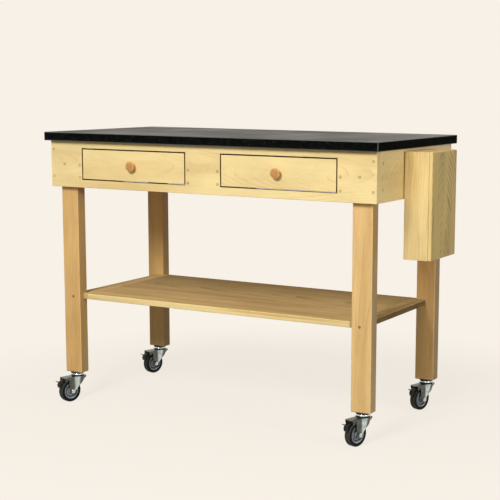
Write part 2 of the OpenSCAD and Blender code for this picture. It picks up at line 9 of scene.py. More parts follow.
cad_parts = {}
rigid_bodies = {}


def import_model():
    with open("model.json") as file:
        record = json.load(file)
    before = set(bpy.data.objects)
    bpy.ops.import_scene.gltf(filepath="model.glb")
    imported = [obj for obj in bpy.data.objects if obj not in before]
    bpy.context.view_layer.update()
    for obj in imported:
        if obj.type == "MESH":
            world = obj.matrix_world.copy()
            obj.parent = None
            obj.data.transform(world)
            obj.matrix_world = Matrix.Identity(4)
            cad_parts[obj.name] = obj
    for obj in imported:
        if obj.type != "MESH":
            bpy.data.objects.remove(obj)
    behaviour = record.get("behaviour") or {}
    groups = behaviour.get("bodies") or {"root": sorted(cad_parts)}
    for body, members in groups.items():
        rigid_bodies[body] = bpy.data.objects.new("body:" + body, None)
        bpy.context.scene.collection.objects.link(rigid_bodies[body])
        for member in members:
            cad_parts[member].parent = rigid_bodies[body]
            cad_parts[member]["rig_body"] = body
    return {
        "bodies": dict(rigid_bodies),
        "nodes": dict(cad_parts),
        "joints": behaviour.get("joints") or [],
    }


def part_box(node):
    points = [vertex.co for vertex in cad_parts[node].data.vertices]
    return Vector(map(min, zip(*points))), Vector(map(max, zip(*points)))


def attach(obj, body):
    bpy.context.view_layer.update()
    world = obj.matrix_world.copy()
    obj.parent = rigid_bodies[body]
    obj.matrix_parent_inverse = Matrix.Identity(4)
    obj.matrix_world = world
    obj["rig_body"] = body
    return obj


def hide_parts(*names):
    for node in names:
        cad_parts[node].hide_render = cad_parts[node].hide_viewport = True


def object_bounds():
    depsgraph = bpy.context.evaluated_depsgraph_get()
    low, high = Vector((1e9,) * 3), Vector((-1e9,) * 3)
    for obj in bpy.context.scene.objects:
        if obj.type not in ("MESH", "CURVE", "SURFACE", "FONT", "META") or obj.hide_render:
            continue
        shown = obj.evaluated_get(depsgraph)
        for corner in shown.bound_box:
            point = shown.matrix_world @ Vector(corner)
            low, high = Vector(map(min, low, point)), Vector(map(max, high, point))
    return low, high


bl_info = {
    "name": "Kitchen Prep Table",
    "version": (1, 0, 0),
    "blender": (4, 5, 0),
    "location": "View3D > Sidebar > Prep Table",
    "description": "Builds the stone top, boards, drawers, knife block and casters of a prep table",
    "category": "Object",
}

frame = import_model()
cad_low, cad_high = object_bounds()

MM = 0.001
PHOTO_SIZE = 500
CORNERS = ("front_left", "front_right", "back_left", "back_right")
SIDES = ("left", "right")
AXES = "XYZ"
JOINTS = {joint["name"]: joint for joint in frame["joints"]}

WELD_DISTANCE = 0.002 * MM
FLAT_ANGLE = math.radians(0.5)
SHARP_ANGLE = math.radians(25)
SMOOTH_ANGLE = math.radians(50)


# Settings

def linear(code):
    """The scene's own red, green and blue for six hex digits."""
    parts = [int(code[i:i + 2], 16) / 255 for i in (0, 2, 4)]
    return tuple(c / 12.92 if c < 0.04045 else ((c + 0.055) / 1.055) ** 2.4 for c in parts)


def colour(name, description, code):
    """A colour that a user may change."""
    return bpy.props.FloatVectorProperty(
        name=name, description=description, default=linear(code), subtype="COLOR", size=3, min=0, max=1)


def size(name, description, millimetres):
    """A length that a user may change."""
    return bpy.props.FloatProperty(
        name=name, description=description, default=millimetres * MM, subtype="DISTANCE", unit="LENGTH",
        min=0)


def share(name, description, value):
    """A share from 0 to 1 that a user may change."""
    return bpy.props.FloatProperty(
        name=name, description=description, default=value, subtype="FACTOR", min=0, max=1)


def power(name, description, watts):
    """A lamp's power that a user may change."""
    return bpy.props.FloatProperty(name=name, description=description, default=watts, unit="POWER", min=0)


def spot(name, description, metres):
    """A place that a user may change."""
    return bpy.props.FloatVectorProperty(
        name=name, description=description, default=metres, subtype="TRANSLATION", unit="LENGTH", size=3)


def angle(name, description, degrees):
    """An angle that a user may change."""
    return bpy.props.FloatProperty(
        name=name, description=description, default=math.radians(degrees), subtype="ANGLE")


class StoneSettings(bpy.types.PropertyGroup):
    """The black stone top."""
    ground: colour("Ground", "Colour between the flecks", "080A08")
    fleck: colour("Flecks", "Colour of the small pale flecks", "3C403C")
    # The lighter colour on the slab's eased edges is a painted highlight.
    painted_arris_highlight: colour("Polished edges", "Colour of the light line along the slab's eased edges", "6A6C6A")
    easing: size("Edge rounding", "Rounding added to the slab's eased edges", 0.6)
    roughness: share("Roughness", "How dull the stone is", 0.32)
    shine: share("Shine", "Strength of the stone's reflections", 0.022)
    # The ends' much weaker reflections make them read darker: painted shade.
    end_shine: share("End shine", "Strength of the reflections on the stone's two ends", 0.002)


class WoodSettings(bpy.types.PropertyGroup):
    """The colours of the boards and how much their edges are rounded."""
    frame_pale: colour("Frame wood", "Ground colour of the apron boards and drawer fronts", "F3DC9E")
    frame_dark: colour("Frame grain", "Grain lines of the apron boards and drawer fronts", "C99F58")
    # The dark colour of the narrow faces round the drawer fronts is painted shade in the gaps.
    joint: colour("Joints", "Colour of the narrow faces round the drawer fronts", "5A3210")
    leg_pale: colour("Leg wood", "Ground colour of the legs", "E2B978")
    # The front right leg's paler colour is painted light: that leg stands in stronger light.
    front_right_leg_lit: colour("Light leg wood", "Ground colour of the front right leg", "EBC686")
    leg_dark: colour("Leg grain", "Grain lines of the legs", "B07E42")
    shelf_pale: colour("Shelf wood", "Ground colour of the shelf", "E6C58A")
    shelf_dark: colour("Shelf grain", "Grain lines of the shelf", "9A7648")
    shelf_edge: colour("Shelf edge", "Ground colour of the shelf's front and back edges", "F3DB9C")
    block_pale: colour("Block wood", "Ground colour of the knife block", "EFD595")
    block_dark: colour("Block grain", "Grain lines of the knife block", "C29A5A")
    face_pale: colour("Face board wood", "Ground colour of the knife block's face board", "D6BB72")
    face_dark: colour("Face board grain", "Grain lines of the knife block's face board", "6E5428")
    box_pale: colour("Drawer box wood", "Ground colour of the drawer boxes and hidden boards", "E6CD95")
    box_dark: colour("Drawer box grain", "Grain lines of the drawer boxes and hidden boards", "C09A58")
    knob_pale: colour("Knob wood", "Ground colour of the knobs", "E3B873")
    knob_dark: colour("Knob grain", "Grain lines of the knobs", "A66A32")
    plug_pale: colour("Plug wood", "Ground colour of the plugs", "DBBA7A")
    plug_dark: colour("Plug rim", "Colour of the plugs' rims and grain", "B08D55")
    leg_plug: colour("Leg plugs", "Colour of the darker plugs in the legs", "7E5420")
    easing: size("Edge rounding", "Rounding added to the boards' edges", 0.5)
    front_easing: size("Drawer edge rounding", "Rounding of the drawer fronts' edges", 1.2)
    sheen: share("Satin", "Strength of the clear satin finish", 0.25)


class FastenerSettings(bpy.types.PropertyGroup):
    """The screws below their plugs, and the knife block's rails."""
    plug_radius: size("Plug radius", "Radius of a plug", 4.75)
    plug_length: size("Plug length", "Length of a plug", 6)
    head_radius: size("Head radius", "Radius of a screw's head", 4)
    head_height: size("Head height", "Height of a screw's head", 2.5)
    shank_radius: size("Shank radius", "Outer radius of a screw's thread", 2)
    reach: size("Reach", "Depth of a screw's tip below the wood's face", 50)
    pitch: size("Pitch", "Distance between a screw's threads", 2.4)
    metal: colour("Screw metal", "Colour of the plated screws", "B9B2A0")
    rail: colour("Rail metal", "Colour of the rails that the knife block hangs by", "C9CDD0")


class CasterSettings(bpy.types.PropertyGroup):
    """The swivel casters."""
    zinc: colour("Zinc", "Colour of the plated forks", "61655F")
    painted_highlight: share("Burnish", "Strength of the bright band down the forks' cheeks", 0.85)
    chrome: colour("Chrome", "Colour of the bright races", "DAE8EC")
    bolt: colour("Bolts", "Colour of the axle bolts and nuts", "D5DADC")
    rubber: colour("Tyres", "Colour of the tyres' rubber", "0E1214")
    tread: colour("Treads", "Colour of the tyres' worn treads", "34372F")
    hub: colour("Hubs", "Colour of the hubs' plastic", "8A949A")
    # The paler raised rings are a painted highlight and the dark sunk rings painted shade.
    hub_ring_painted_highlight: colour("Hub rings", "Colour of the thin raised rings of the hubs", "B4BCC0")
    hub_groove_painted_shade: colour("Hub grooves", "Colour of the hubs' sunk rings", "363D41")
    black: colour("Black parts", "Colour of the collars, seals and pedals", "101214")
    dust: share("Dust", "How dusty the casters are", 0.03)
    dust_on_metal: colour("Dust on metal", "Colour of the dust on bright metal", "9A9488")
    dust_on_black: colour("Dust on plastic", "Colour of the dust on plastic and rubber", "A59E90")
    easing: size("Edge rounding", "Rounding of the edges of the forks, bolts and pedals", 0.6)


class StageSettings(bpy.types.PropertyGroup):
    """The pale floor, the lamps and the camera."""
    backdrop: colour("Backdrop", "Colour of the floor and the background", "F8F1E7")
    ambient: bpy.props.FloatProperty(
        name="Ambient", description="Light that comes from all round", default=0.3, min=0)
    key_power: power("Key", "Power of the large lamp at the front", 138)
    key_place: spot("Key place", "Where the large lamp stands", (0.3, -3.7, 2.75))
    key_width: size("Key width", "Width of the large lamp", 1500)
    fill_power: power("Fill", "Power of the lamp at the right", 38)
    fill_place: spot("Fill place", "Where the right-hand lamp stands", (3.8, -0.9, 1.5))
    fill_width: size("Fill width", "Width of the right-hand lamp", 1000)
    floor_radius: size("Floor radius", "Radius of the round floor", 30000)
    shadow: share("Shadow", "How strongly the floor shows the table's shadow", 0.13)
    shadow_start: size("Shadow start", "Distance at which the floor's shadow begins to fade", 750)
    shadow_end: size("Shadow end", "Distance at which the floor's shadow is gone", 1500)
    bounce: share("Bounce", "How much of the light on the floor comes back up", 0.3)
    camera_place: spot("Camera place", "Where the camera stands", (2.0758, -3.506, 1.0844))
    camera_yaw: angle("Camera yaw", "Turn of the camera to the left of straight ahead", 27.869)
    camera_pitch: angle("Camera pitch", "Tilt of the camera below level", 8.659)
    camera_roll: angle("Camera roll", "Roll of the camera", 0.377)
    lens: bpy.props.FloatProperty(
        name="Lens", description="Focal length on a 36 mm sensor", default=89.18, min=1)
    middle: bpy.props.FloatVectorProperty(
        name="Picture middle", description="Where the lens's axis meets the photograph, in its pixels",
        default=(318.1, 270.0), size=2)


# Node trees

class Nodes:
    """Adds nodes to one tree and hands back the sockets that they put out."""

    def __init__(self, tree):
        self.tree = tree

    def feed(self, socket, value):
        """Links a socket, or sets its own value."""
        if isinstance(value, bpy.types.NodeSocket):
            self.tree.links.new(value, socket)
        elif socket.type == "RGBA":
            socket.default_value = (*value[:3], 1.0)
        else:
            socket.default_value = value

    def add(self, kind, inputs=None, **settings):
        """A node with its settings and its inputs by name."""
        node = self.tree.nodes.new(kind)
        for name, value in settings.items():
            setattr(node, name, value)
        for name, value in (inputs or {}).items():
            self.feed(node.inputs[name], value)
        return node

    def math(self, operation, *values):
        node = self.add("ShaderNodeMath", operation=operation)
        for socket, value in zip(node.inputs, values):
            self.feed(socket, value)
        return node.outputs[0]

    def vector(self, operation, *values):
        node = self.add("ShaderNodeVectorMath", operation=operation)
        for socket, value in zip(node.inputs, values):
            self.feed(socket, value)
        return node.outputs["Value" if operation in ("LENGTH", "DOT_PRODUCT") else "Vector"]

    def scaled(self, vector, factor):
        """A vector or colour times one number."""
        return self.add("ShaderNodeVectorMath", {0: vector, "Scale": factor}, operation="SCALE").outputs[0]

    def split(self, vector):
        return self.add("ShaderNodeSeparateXYZ", {0: vector}).outputs

    def joined(self, *values):
        return self.add("ShaderNodeCombineXYZ", dict(enumerate(values))).outputs[0]

    def noise(self, place, stretch, detail=2.0):
        """A noise node over a place stretched by three numbers."""
        return self.add("ShaderNodeTexNoise", {
            "Vector": self.vector("MULTIPLY", place, stretch), "Scale": 1.0, "Detail": detail})

    def ramp(self, value, low, high, start=0.0, end=1.0):
        """A smooth step of value from start at low to end at high."""
        return self.add("ShaderNodeMapRange", {
            "Value": value, "From Min": low, "From Max": high, "To Min": start, "To Max": end,
        }, interpolation_type="SMOOTHSTEP").outputs[0]

    def mix(self, factor, first, second):
        """Two colours mixed."""
        return self.add("ShaderNodeMix", {0: factor, 6: first, 7: second}, data_type="RGBA").outputs[2]


def shader_group(name, inputs, outputs):
    """A new shader group with its sockets, and its input and output nodes."""
    tree = bpy.data.node_groups.new(name, "ShaderNodeTree")
    for in_out, sockets in (("INPUT", inputs), ("OUTPUT", outputs)):
        for socket, kind in sockets.items():
            tree.interface.new_socket(name=socket, in_out=in_out, socket_type="NodeSocket" + kind)
    nodes = Nodes(tree)
    return nodes, nodes.add("NodeGroupInput").outputs, nodes.add("NodeGroupOutput").inputs


def shared_group(name, build):
    """A shader group by name, built the first time that it is asked for."""
    return bpy.data.node_groups.get(name) or build(name)


def build_wood_group(name):
    """Solid wood round a pith line: x runs along the grain, y across the board and z through it."""
    nodes, given, made = shader_group(
        name,
        {"Place": "Vector", "Facing": "Vector", "Pale": "Color", "Dark": "Color", "Seed": "Float",
         "Pith Across": "Float", "Pith Depth": "Float", "Tilt": "Float", "Ring": "Float",
         "Wave": "Float", "Strength": "Float", "Thinness": "Float", "Streaks": "Float",
         "Blotches": "Float", "Side Tone": "Float", "End Tone": "Float"},
        {"Color": "Color", "Roughness": "Float", "Height": "Float"})
    offset = nodes.scaled((17.3, 5.1, 9.7), given["Seed"])
    place = nodes.vector("ADD", given["Place"], offset)
    slow = nodes.noise(place, (1.6, 8, 8)).outputs["Color"]
    quick = nodes.noise(place, (7, 55, 55), 1.0).outputs["Color"]
    bend = nodes.vector("ADD", nodes.vector("SUBTRACT", slow, (0.5, 0.5, 0.5)),
                        nodes.scaled(nodes.vector("SUBTRACT", quick, (0.5, 0.5, 0.5)), 0.1))
    along, across, depth = nodes.split(given["Place"])
    bend_along, bend_across, bend_depth = nodes.split(nodes.scaled(bend, given["Wave"]))
    across = nodes.math("ADD", nodes.math("SUBTRACT", across, given["Pith Across"]), bend_across)
    tilted = nodes.math("MULTIPLY_ADD", along, given["Tilt"], given["Pith Depth"])
    depth = nodes.math("ADD", nodes.math("SUBTRACT", depth, tilted), bend_depth)
    radius = nodes.vector("LENGTH", nodes.joined(0.0, across, depth))
    turns = nodes.math("DIVIDE", nodes.math("ADD", radius, bend_along), given["Ring"])
    uneven = nodes.noise(nodes.joined(turns, given["Seed"], 0.0), (0.4, 1, 1), 1.0).outputs["Fac"]
    turns = nodes.math("MULTIPLY_ADD", uneven, 2.5, turns)
    ring = nodes.math("FRACT", turns)
    late = nodes.math("MULTIPLY", nodes.math("POWER", ring, given["Thinness"]),
                      nodes.ramp(ring, 0.93, 1.0, 1.0, 0.0))
    weight = nodes.ramp(nodes.noise(place, (3, 24, 24)).outputs["Fac"], 0.4, 0.65, 0.1, 1.0)
    late = nodes.math("MULTIPLY", nodes.math("MULTIPLY", late, weight), given["Strength"])

    fibre = nodes.noise(place, (14, 380, 380)).outputs["Fac"]
    pores = nodes.ramp(nodes.noise(place, (70, 1500, 1500), 0.0).outputs["Fac"], 0.66, 0.78)
    tone = nodes.noise(place, (1.8, 16, 16), 3.0).outputs["Fac"]
    cloud = nodes.noise(place, (7, 12, 12), 2.0).outputs["Fac"]
    blotch = nodes.math("MULTIPLY", nodes.ramp(tone, 0.35, 0.75), given["Blotches"])
    ground = nodes.mix(blotch, given["Pale"], given["Dark"])
    ground = nodes.mix(late, ground, given["Dark"])
    shade = nodes.math("MULTIPLY_ADD", nodes.math("SUBTRACT", fibre, 0.5), given["Streaks"], 1.0)
    shade = nodes.math("ADD", shade, nodes.ramp(cloud, 0.3, 0.7, -0.04, 0.04))
    shade = nodes.math("SUBTRACT", shade, nodes.math("MULTIPLY", pores, 0.12))

    facing = nodes.vector("ABSOLUTE", given["Facing"])
    face_along, face_across, face_depth = nodes.split(facing)
    # Faces that look across the board are darkened by the side input: painted shade on the side faces.
    narrow = nodes.math("MULTIPLY", nodes.ramp(face_across, 0.6, 0.95), given["Side Tone"])
    wood = nodes.scaled(ground, nodes.math("SUBTRACT", shade, narrow))
    end = nodes.ramp(face_along, 0.6, 0.95)
    wood = nodes.mix(nodes.math("MULTIPLY", end, given["End Tone"]), wood, given["Dark"])
    # Eased edges, found by their slanting normals, are lightened towards the pale colour and broken up by the
    # fibre: a painted highlight along each arris.
    largest = nodes.math("MAXIMUM", face_along, nodes.math("MAXIMUM", face_across, face_depth))
    painted_arris_highlight = nodes.ramp(largest, 0.99, 0.9)
    lighter = nodes.math("MULTIPLY", painted_arris_highlight, nodes.ramp(fibre, 0.2, 0.6, 0.25, 0.6))
    wood = nodes.mix(lighter, wood, nodes.scaled(given["Pale"], 1.12))

    rough = nodes.math("ADD", nodes.ramp(fibre, 0.2, 0.8, 0.34, 0.46), nodes.math("MULTIPLY", end, 0.15))
    height = nodes.math("SUBTRACT", nodes.math("MULTIPLY", fibre, 0.4), pores)
    nodes.feed(made["Color"], wood)
    nodes.feed(made["Roughness"], rough)
    nodes.feed(made["Height"], nodes.math("MULTIPLY_ADD", late, -0.4, height))
    return nodes.tree


def build_dust_group(name):
    """Fine dust that lies on what faces up, with a little everywhere."""
    nodes, given, made = shader_group(name, {"Amount": "Float"}, {"Mask": "Float"})
    source = nodes.add("ShaderNodeTexCoord").outputs
    up = nodes.ramp(nodes.split(source["Normal"])[2], -0.2, 1.0, 0.25, 1.0)
    grains = nodes.noise(source["Object"], (260, 260, 260), 4.0).outputs["Fac"]
    patches = nodes.noise(source["Object"], (38, 38, 38), 2.0).outputs["Fac"]
    speckled = nodes.math("MULTIPLY", nodes.ramp(grains, 0.4, 0.7), nodes.ramp(patches, 0.3, 0.75))
    mask = nodes.math("MULTIPLY", nodes.math("MULTIPLY", speckled, up), given["Amount"])
    nodes.feed(made["Mask"], mask)
    return nodes.tree


def build_metal_group(name):
    """Plated or rolled metal: soft blotches, fine lines along one stretch, and small scratches."""
    nodes, given, made = shader_group(
        name, {"Stretch": "Vector", "Seed": "Float"}, {"Tone": "Float", "Lines": "Float", "Height": "Float"})
    place = nodes.vector("ADD", nodes.add("ShaderNodeTexCoord").outputs["Object"],
                         nodes.scaled((3.1, 7.7, 1.9), given["Seed"]))
    blotch = nodes.noise(place, (90, 90, 90), 3.0).outputs["Fac"]
    lines = nodes.noise(place, given["Stretch"]).outputs["Fac"]
    grains = nodes.noise(place, (900, 900, 900), 1.0).outputs["Fac"]
    nodes.feed(made["Tone"], nodes.ramp(blotch, 0.3, 0.7))
    nodes.feed(made["Lines"], lines)
    nodes.feed(made["Height"], nodes.math("MULTIPLY_ADD", lines, 0.6, nodes.math("MULTIPLY", grains, 0.4)))
    return nodes.tree


# Materials

def new_material(name):
    """An empty node material and its helper."""
    material = bpy.data.materials.new(name)
    material.use_nodes = True
    material.node_tree.nodes.clear()
    return material, Nodes(material.node_tree)


def put_out(nodes, shader):
    nodes.add("ShaderNodeOutputMaterial", {"Surface": shader.outputs[0]})


def surface(nodes, inputs, height=None, strength=0.0, depth=0.0):
    """A material's Principled shader, with fine relief from a height; depth is in millimetres."""
    if height is not None:
        bump = nodes.add("ShaderNodeBump", {"Height": height, "Strength": strength, "Distance": depth * MM})
        inputs = {**inputs, "Normal": bump.outputs[0]}
    put_out(nodes, nodes.add("ShaderNodeBsdfPrincipled", inputs))


def placed_group(nodes, name, build, inputs):
    """A shared group placed in a material with its own values."""
    node = nodes.add("ShaderNodeGroup", node_tree=shared_group(name, build))
    for socket, value in inputs.items():
        nodes.feed(node.inputs[socket], value)
    return node.outputs


def wood(name, pale, dark, node, grain, across, pith=(0.0, 0.08), tilt=0.05, ring=5.0, wave=14.0,
         strength=0.35, thinness=6.0, streaks=0.12, blotches=0.25, painted_side_shade=0.0, end_tone=0.55,
         fade=0.0, gloss=0.3, seed=1.0):
    """Solid wood for one board: grain and across name its axes, and ring and wave are in millimetres."""
    low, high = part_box(node)
    through = (set(AXES) - {grain, across}).pop()
    order = [AXES.index(axis) for axis in (grain, across, through)]
    material, nodes = new_material(name)
    source = nodes.add("ShaderNodeTexCoord").outputs
    place = nodes.split(nodes.vector("SUBTRACT", source["Object"], (low + high) / 2))
    facing = nodes.split(source["Normal"])
    half = (high - low)[order[1]] / 2
    # fade darkens the pale colour across the board towards its far side: painted shade.
    pale_with_painted_shade = nodes.scaled(pale, nodes.ramp(place[order[1]], -half, half, 1.0, 1.0 - fade))
    made = placed_group(nodes, "solid_wood", build_wood_group, {
        "Place": nodes.joined(*[place[i] for i in order]),
        "Facing": nodes.joined(*[facing[i] for i in order]),
        "Pale": pale_with_painted_shade, "Dark": dark, "Seed": seed, "Pith Across": pith[0], "Pith Depth": pith[1],
        "Tilt": tilt, "Ring": ring * MM, "Wave": wave * MM, "Strength": strength,
        "Thinness": thinness, "Streaks": streaks, "Blotches": blotches, "Side Tone": painted_side_shade,
        "End Tone": end_tone})
    surface(nodes, {
        "Base Color": made["Color"], "Roughness": made["Roughness"], "Specular IOR Level": gloss,
        "Coat Weight": bpy.context.scene.prep_table_wood.sheen * gloss, "Coat Roughness": 0.28,
    }, made["Height"], strength=0.35, depth=0.15)
    return material


def painted_gap_shade():
    """Dark, rough wood for the narrow faces inside the drawer gaps: painted shade in the gaps."""
    material, nodes = new_material("sawn_wood")
    place = nodes.add("ShaderNodeTexCoord").outputs["Object"]
    grains = nodes.noise(place, (300, 300, 300)).outputs["Fac"]
    shade = nodes.ramp(grains, 0.3, 0.7, 0.7, 1.3)
    surface(nodes, {
        "Base Color": nodes.scaled(bpy.context.scene.prep_table_wood.joint, shade),
        "Roughness": nodes.ramp(grains, 0.3, 0.7, 0.8, 0.9), "Specular IOR Level": 0.0})
    return material


def stone(name, shine):
    """Black stone: fine grey mottling, small pale flecks and a dull polish."""
    settings = bpy.context.scene.prep_table_stone
    material, nodes = new_material(name)
    place = nodes.add("ShaderNodeTexCoord").outputs["Object"]
    mottle = nodes.noise(place, (45, 45, 45), 6.0).outputs["Fac"]
    crystals = nodes.add("ShaderNodeTexVoronoi", {"Vector": place, "Scale": 300.0}).outputs
    chosen = nodes.ramp(nodes.split(crystals["Color"])[0], 0.84, 0.97)
    dot = nodes.math("MULTIPLY", nodes.ramp(crystals["Distance"], 0.5, 0.25), chosen)
    ground = nodes.scaled(settings.ground, nodes.ramp(mottle, 0.3, 0.7, 0.6, 1.5))
    facing = nodes.split(nodes.vector("ABSOLUTE", nodes.add("ShaderNodeNewGeometry").outputs["True Normal"]))
    largest = nodes.math("MAXIMUM", facing[0], nodes.math("MAXIMUM", facing[1], facing[2]))
    # The eased edges take the lighter edge colour: a painted highlight along the slab's edges.
    ground = nodes.mix(nodes.ramp(largest, 0.99, 0.95), ground, settings.painted_arris_highlight)
    clouds = nodes.noise(place, (5, 5, 5), 3.0).outputs["Fac"]
    rough = nodes.math("ADD", nodes.ramp(clouds, 0.3, 0.7, -0.04, 0.05), settings.roughness)
    rough = nodes.math("ADD", rough, nodes.math("MULTIPLY", dot, -0.1))
    surface(nodes, {
        "Base Color": nodes.mix(dot, ground, settings.fleck), "Roughness": rough,
        "Specular IOR Level": shine,
    }, mottle, strength=0.12, depth=0.2)
    return material


def metal(name, tint, roughness, stretch=(300, 300, 300), seed=0.0, dust=0.0):
    """Bare or plated metal whose roughness goes from one number to another."""
    dust_colour = bpy.context.scene.prep_table_casters.dust_on_metal
    material, nodes = new_material(name)
    made = placed_group(nodes, "metal_surface", build_metal_group, {"Stretch": stretch, "Seed": seed})
    soiled = placed_group(nodes, "fine_dust", build_dust_group, {"Amount": dust})["Mask"]
    base = nodes.scaled(tint, nodes.ramp(made["Tone"], 0.0, 1.0, 0.86, 1.0))
    rough = nodes.ramp(made["Lines"], 0.25, 0.75, *roughness)
    surface(nodes, {
        "Base Color": nodes.mix(soiled, base, dust_colour),
        "Metallic": nodes.ramp(soiled, 0.0, 1.0, 1.0, 0.2),
        "Roughness": nodes.math("MULTIPLY_ADD", soiled, 0.4, rough),
    }, made["Height"], strength=0.15, depth=0.05)
    return material


def pressed_zinc(corner):
    """A caster fork's plated steel: olive grey, with a painted highlight, a bright band down the cheeks."""
    casters = bpy.context.scene.prep_table_casters
    swivel = JOINTS[corner + "_caster_swivel"]["pos_m"]
    axle = Vector(JOINTS[corner + "_wheel_spin"]["axis"])
    trail = Vector((axle.y, -axle.x, 0))
    material, nodes = new_material("fork_zinc_" + corner)
    made = placed_group(nodes, "metal_surface", build_metal_group, {"Stretch": (300, 300, 60), "Seed": 3.0})
    source = nodes.add("ShaderNodeTexCoord").outputs
    back = nodes.vector("DOT_PRODUCT", nodes.vector("SUBTRACT", source["Object"], swivel), trail)
    # A band down each cheek turns from zinc to chrome: a painted highlight.
    band = nodes.math("MULTIPLY", nodes.ramp(back, 0.0, 9 * MM), nodes.ramp(back, 26 * MM, 17 * MM))
    cheek = nodes.ramp(nodes.math("ABSOLUTE", nodes.vector("DOT_PRODUCT", source["Normal"], axle)), 0.6, 0.9)
    bright = nodes.math("MULTIPLY", nodes.math("MULTIPLY", band, cheek), casters.painted_highlight)
    base = nodes.mix(bright, casters.zinc, casters.chrome)
    rough = nodes.ramp(made["Lines"], 0.25, 0.75, 0.2, 0.34)
    surface(nodes, {
        "Base Color": nodes.scaled(base, nodes.ramp(made["Tone"], 0.0, 1.0, 0.75, 1.1)), "Metallic": 1.0,
        "Roughness": rough,
    }, made["Height"], strength=0.15, depth=0.05)
    return material


def moulded(name, tint, roughness, grain_size, bump_strength, seed=0.0, dust=0.0, shine=0.5):
    """Moulded plastic or rubber with a fine surface grain and a little dust."""
    dust_colour = bpy.context.scene.prep_table_casters.dust_on_black
    material, nodes = new_material(name)
    place = nodes.vector("ADD", nodes.add("ShaderNodeTexCoord").outputs["Object"], (seed, seed, seed))
    scale = 1 / (grain_size * MM)
    grains = nodes.noise(place, (scale, scale, scale), 2.0).outputs["Fac"]
    patches = nodes.noise(place, (60, 60, 60), 3.0).outputs["Fac"]
    soiled = placed_group(nodes, "fine_dust", build_dust_group, {"Amount": dust})["Mask"]
    base = nodes.scaled(tint, nodes.ramp(patches, 0.3, 0.7, 0.88, 1.1))
    rough = nodes.ramp(grains, 0.3, 0.7, roughness - 0.05, roughness + 0.05)
    surface(nodes, {
        "Base Color": nodes.mix(soiled, base, dust_colour),
        "Roughness": nodes.math("MULTIPLY_ADD", soiled, 0.25, rough), "Specular IOR Level": shine,
    }, grains, strength=bump_strength, depth=0.1)
    return material


# Meshes

def welded(node):
    """A copy of a CAD node with its loose triangles joined and its flat faces made whole."""
    source = frame["nodes"][node].data
    mesh = bmesh.new()
    corners = [mesh.verts.new(vertex.co) for vertex in source.vertices]
    for face in source.polygons:
        mesh.faces.new([corners[i] for i in face.vertices])
    bmesh.ops.remove_doubles(mesh, verts=mesh.verts, dist=WELD_DISTANCE)
    bmesh.ops.dissolve_limit(mesh, angle_limit=FLAT_ANGLE, verts=mesh.verts, edges=mesh.edges)
    return mesh


def smoothed(name, mesh):
    """A mesh from a bmesh, smooth apart from its edges."""
    data = bpy.data.meshes.new(name)
    mesh.to_mesh(data)
    mesh.free()
    data.shade_smooth()
    data.set_sharp_from_angle(angle=SMOOTH_ANGLE)
    return data


def linked(name, data):
    """A new object in the scene."""
    item = bpy.data.objects.new(name, data)
    bpy.context.scene.collection.objects.link(item)
    return item


def plain_mesh(item):
    """The mesh that an object's modifiers make; the object itself is removed."""
    depsgraph = bpy.context.evaluated_depsgraph_get()
    whole = bpy.data.meshes.new_from_object(item.evaluated_get(depsgraph), depsgraph=depsgraph)
    bpy.data.objects.remove(item)
    return whole


def shown(node, data, materials):
    """Puts a finished mesh in its CAD node's place, and lets it ride on the node's body."""
    name = node + "_finished"
    data.name = name
    # Clearing an empty list would still set every face to slot 0.
    if data.materials:
        data.materials.clear()
    for material in materials:
        data.materials.append(material)
    piece = linked(name, data)
    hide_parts(node)
    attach(piece, frame["nodes"][node]["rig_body"])


def finished(node, mesh, materials):
    """Shows a bmesh in its CAD node's place, with its flat faces shaded flat."""
    data = smoothed(node + "_draft", mesh)
    draft = linked(node + "_draft", data)
    weighted = draft.modifiers.new("flat faces stay flat", "WEIGHTED_NORMAL")
    weighted.keep_sharp = True
    whole = plain_mesh(draft)
    bpy.data.meshes.remove(data)
    shown(node, whole, materials)


def eased(node, easing, materials, slot_of=None):
    """Rounds a CAD node's sharp edges; slot_of gives each face's material slot."""
    mesh = welded(node)
    sharp = [edge for edge in mesh.edges
             if len(edge.link_faces) == 2 and edge.calc_face_angle() > SHARP_ANGLE]
    bmesh.ops.bevel(mesh, geom=sharp, offset=easing, offset_type="OFFSET", segments=2, profile=0.5,
                    affect="EDGES", clamp_overlap=True)
    if slot_of:
        mesh.normal_update()
        for face in mesh.faces:
            face.material_index = slot_of(face)
    finished(node, mesh, materials)


def turned(profile, centre, axis, steps=72, closed=False, slots=None):
    """A bmesh turned from (radius, distance along the axis) points; a closed profile makes a ring.

    slots gives the material slot of each stretch between two points, where it isn't 0."""
    slots = slots or {}
    axis = Vector(axis).normalized()
    side = axis.orthogonal().normalized()
    other = axis.cross(side)
    mesh = bmesh.new()
    rings = []
    for radius, along in profile:
        middle = Vector(centre) + axis * along
        if radius == 0:
            rings.append([mesh.verts.new(middle)] * steps)
            continue
        turns = [2 * math.pi * i / steps for i in range(steps)]
        rings.append([mesh.verts.new(middle + radius * (math.cos(turn) * side + math.sin(turn) * other))
                      for turn in turns])
    pairs = list(zip(rings, rings[1:]))
    if closed:
        pairs.append((rings[-1], rings[0]))
    for stretch, (first, second) in enumerate(pairs):
        for i in range(steps):
            following = (i + 1) % steps
            corners = (first[i], first[following], second[following], second[i])
            face = mesh.faces.new(list(dict.fromkeys(corners)))
            face.material_index = slots.get(stretch, 0)
    bmesh.ops.recalc_face_normals(mesh, faces=mesh.faces)
    return mesh


def turned_wheel(half, joint, slots):
    """A hub or tyre turned from one half of its profile, with the slots of that half's stretches."""
    other_half = [(radius, -along) for radius, along in reversed(half)]
    last = 2 * len(half) - 2
    both = {**slots, **{last - stretch: slot for stretch, slot in slots.items()}}
    return turned(half + other_half, joint["pos_m"], joint["axis"], 96, closed=True, slots=both)


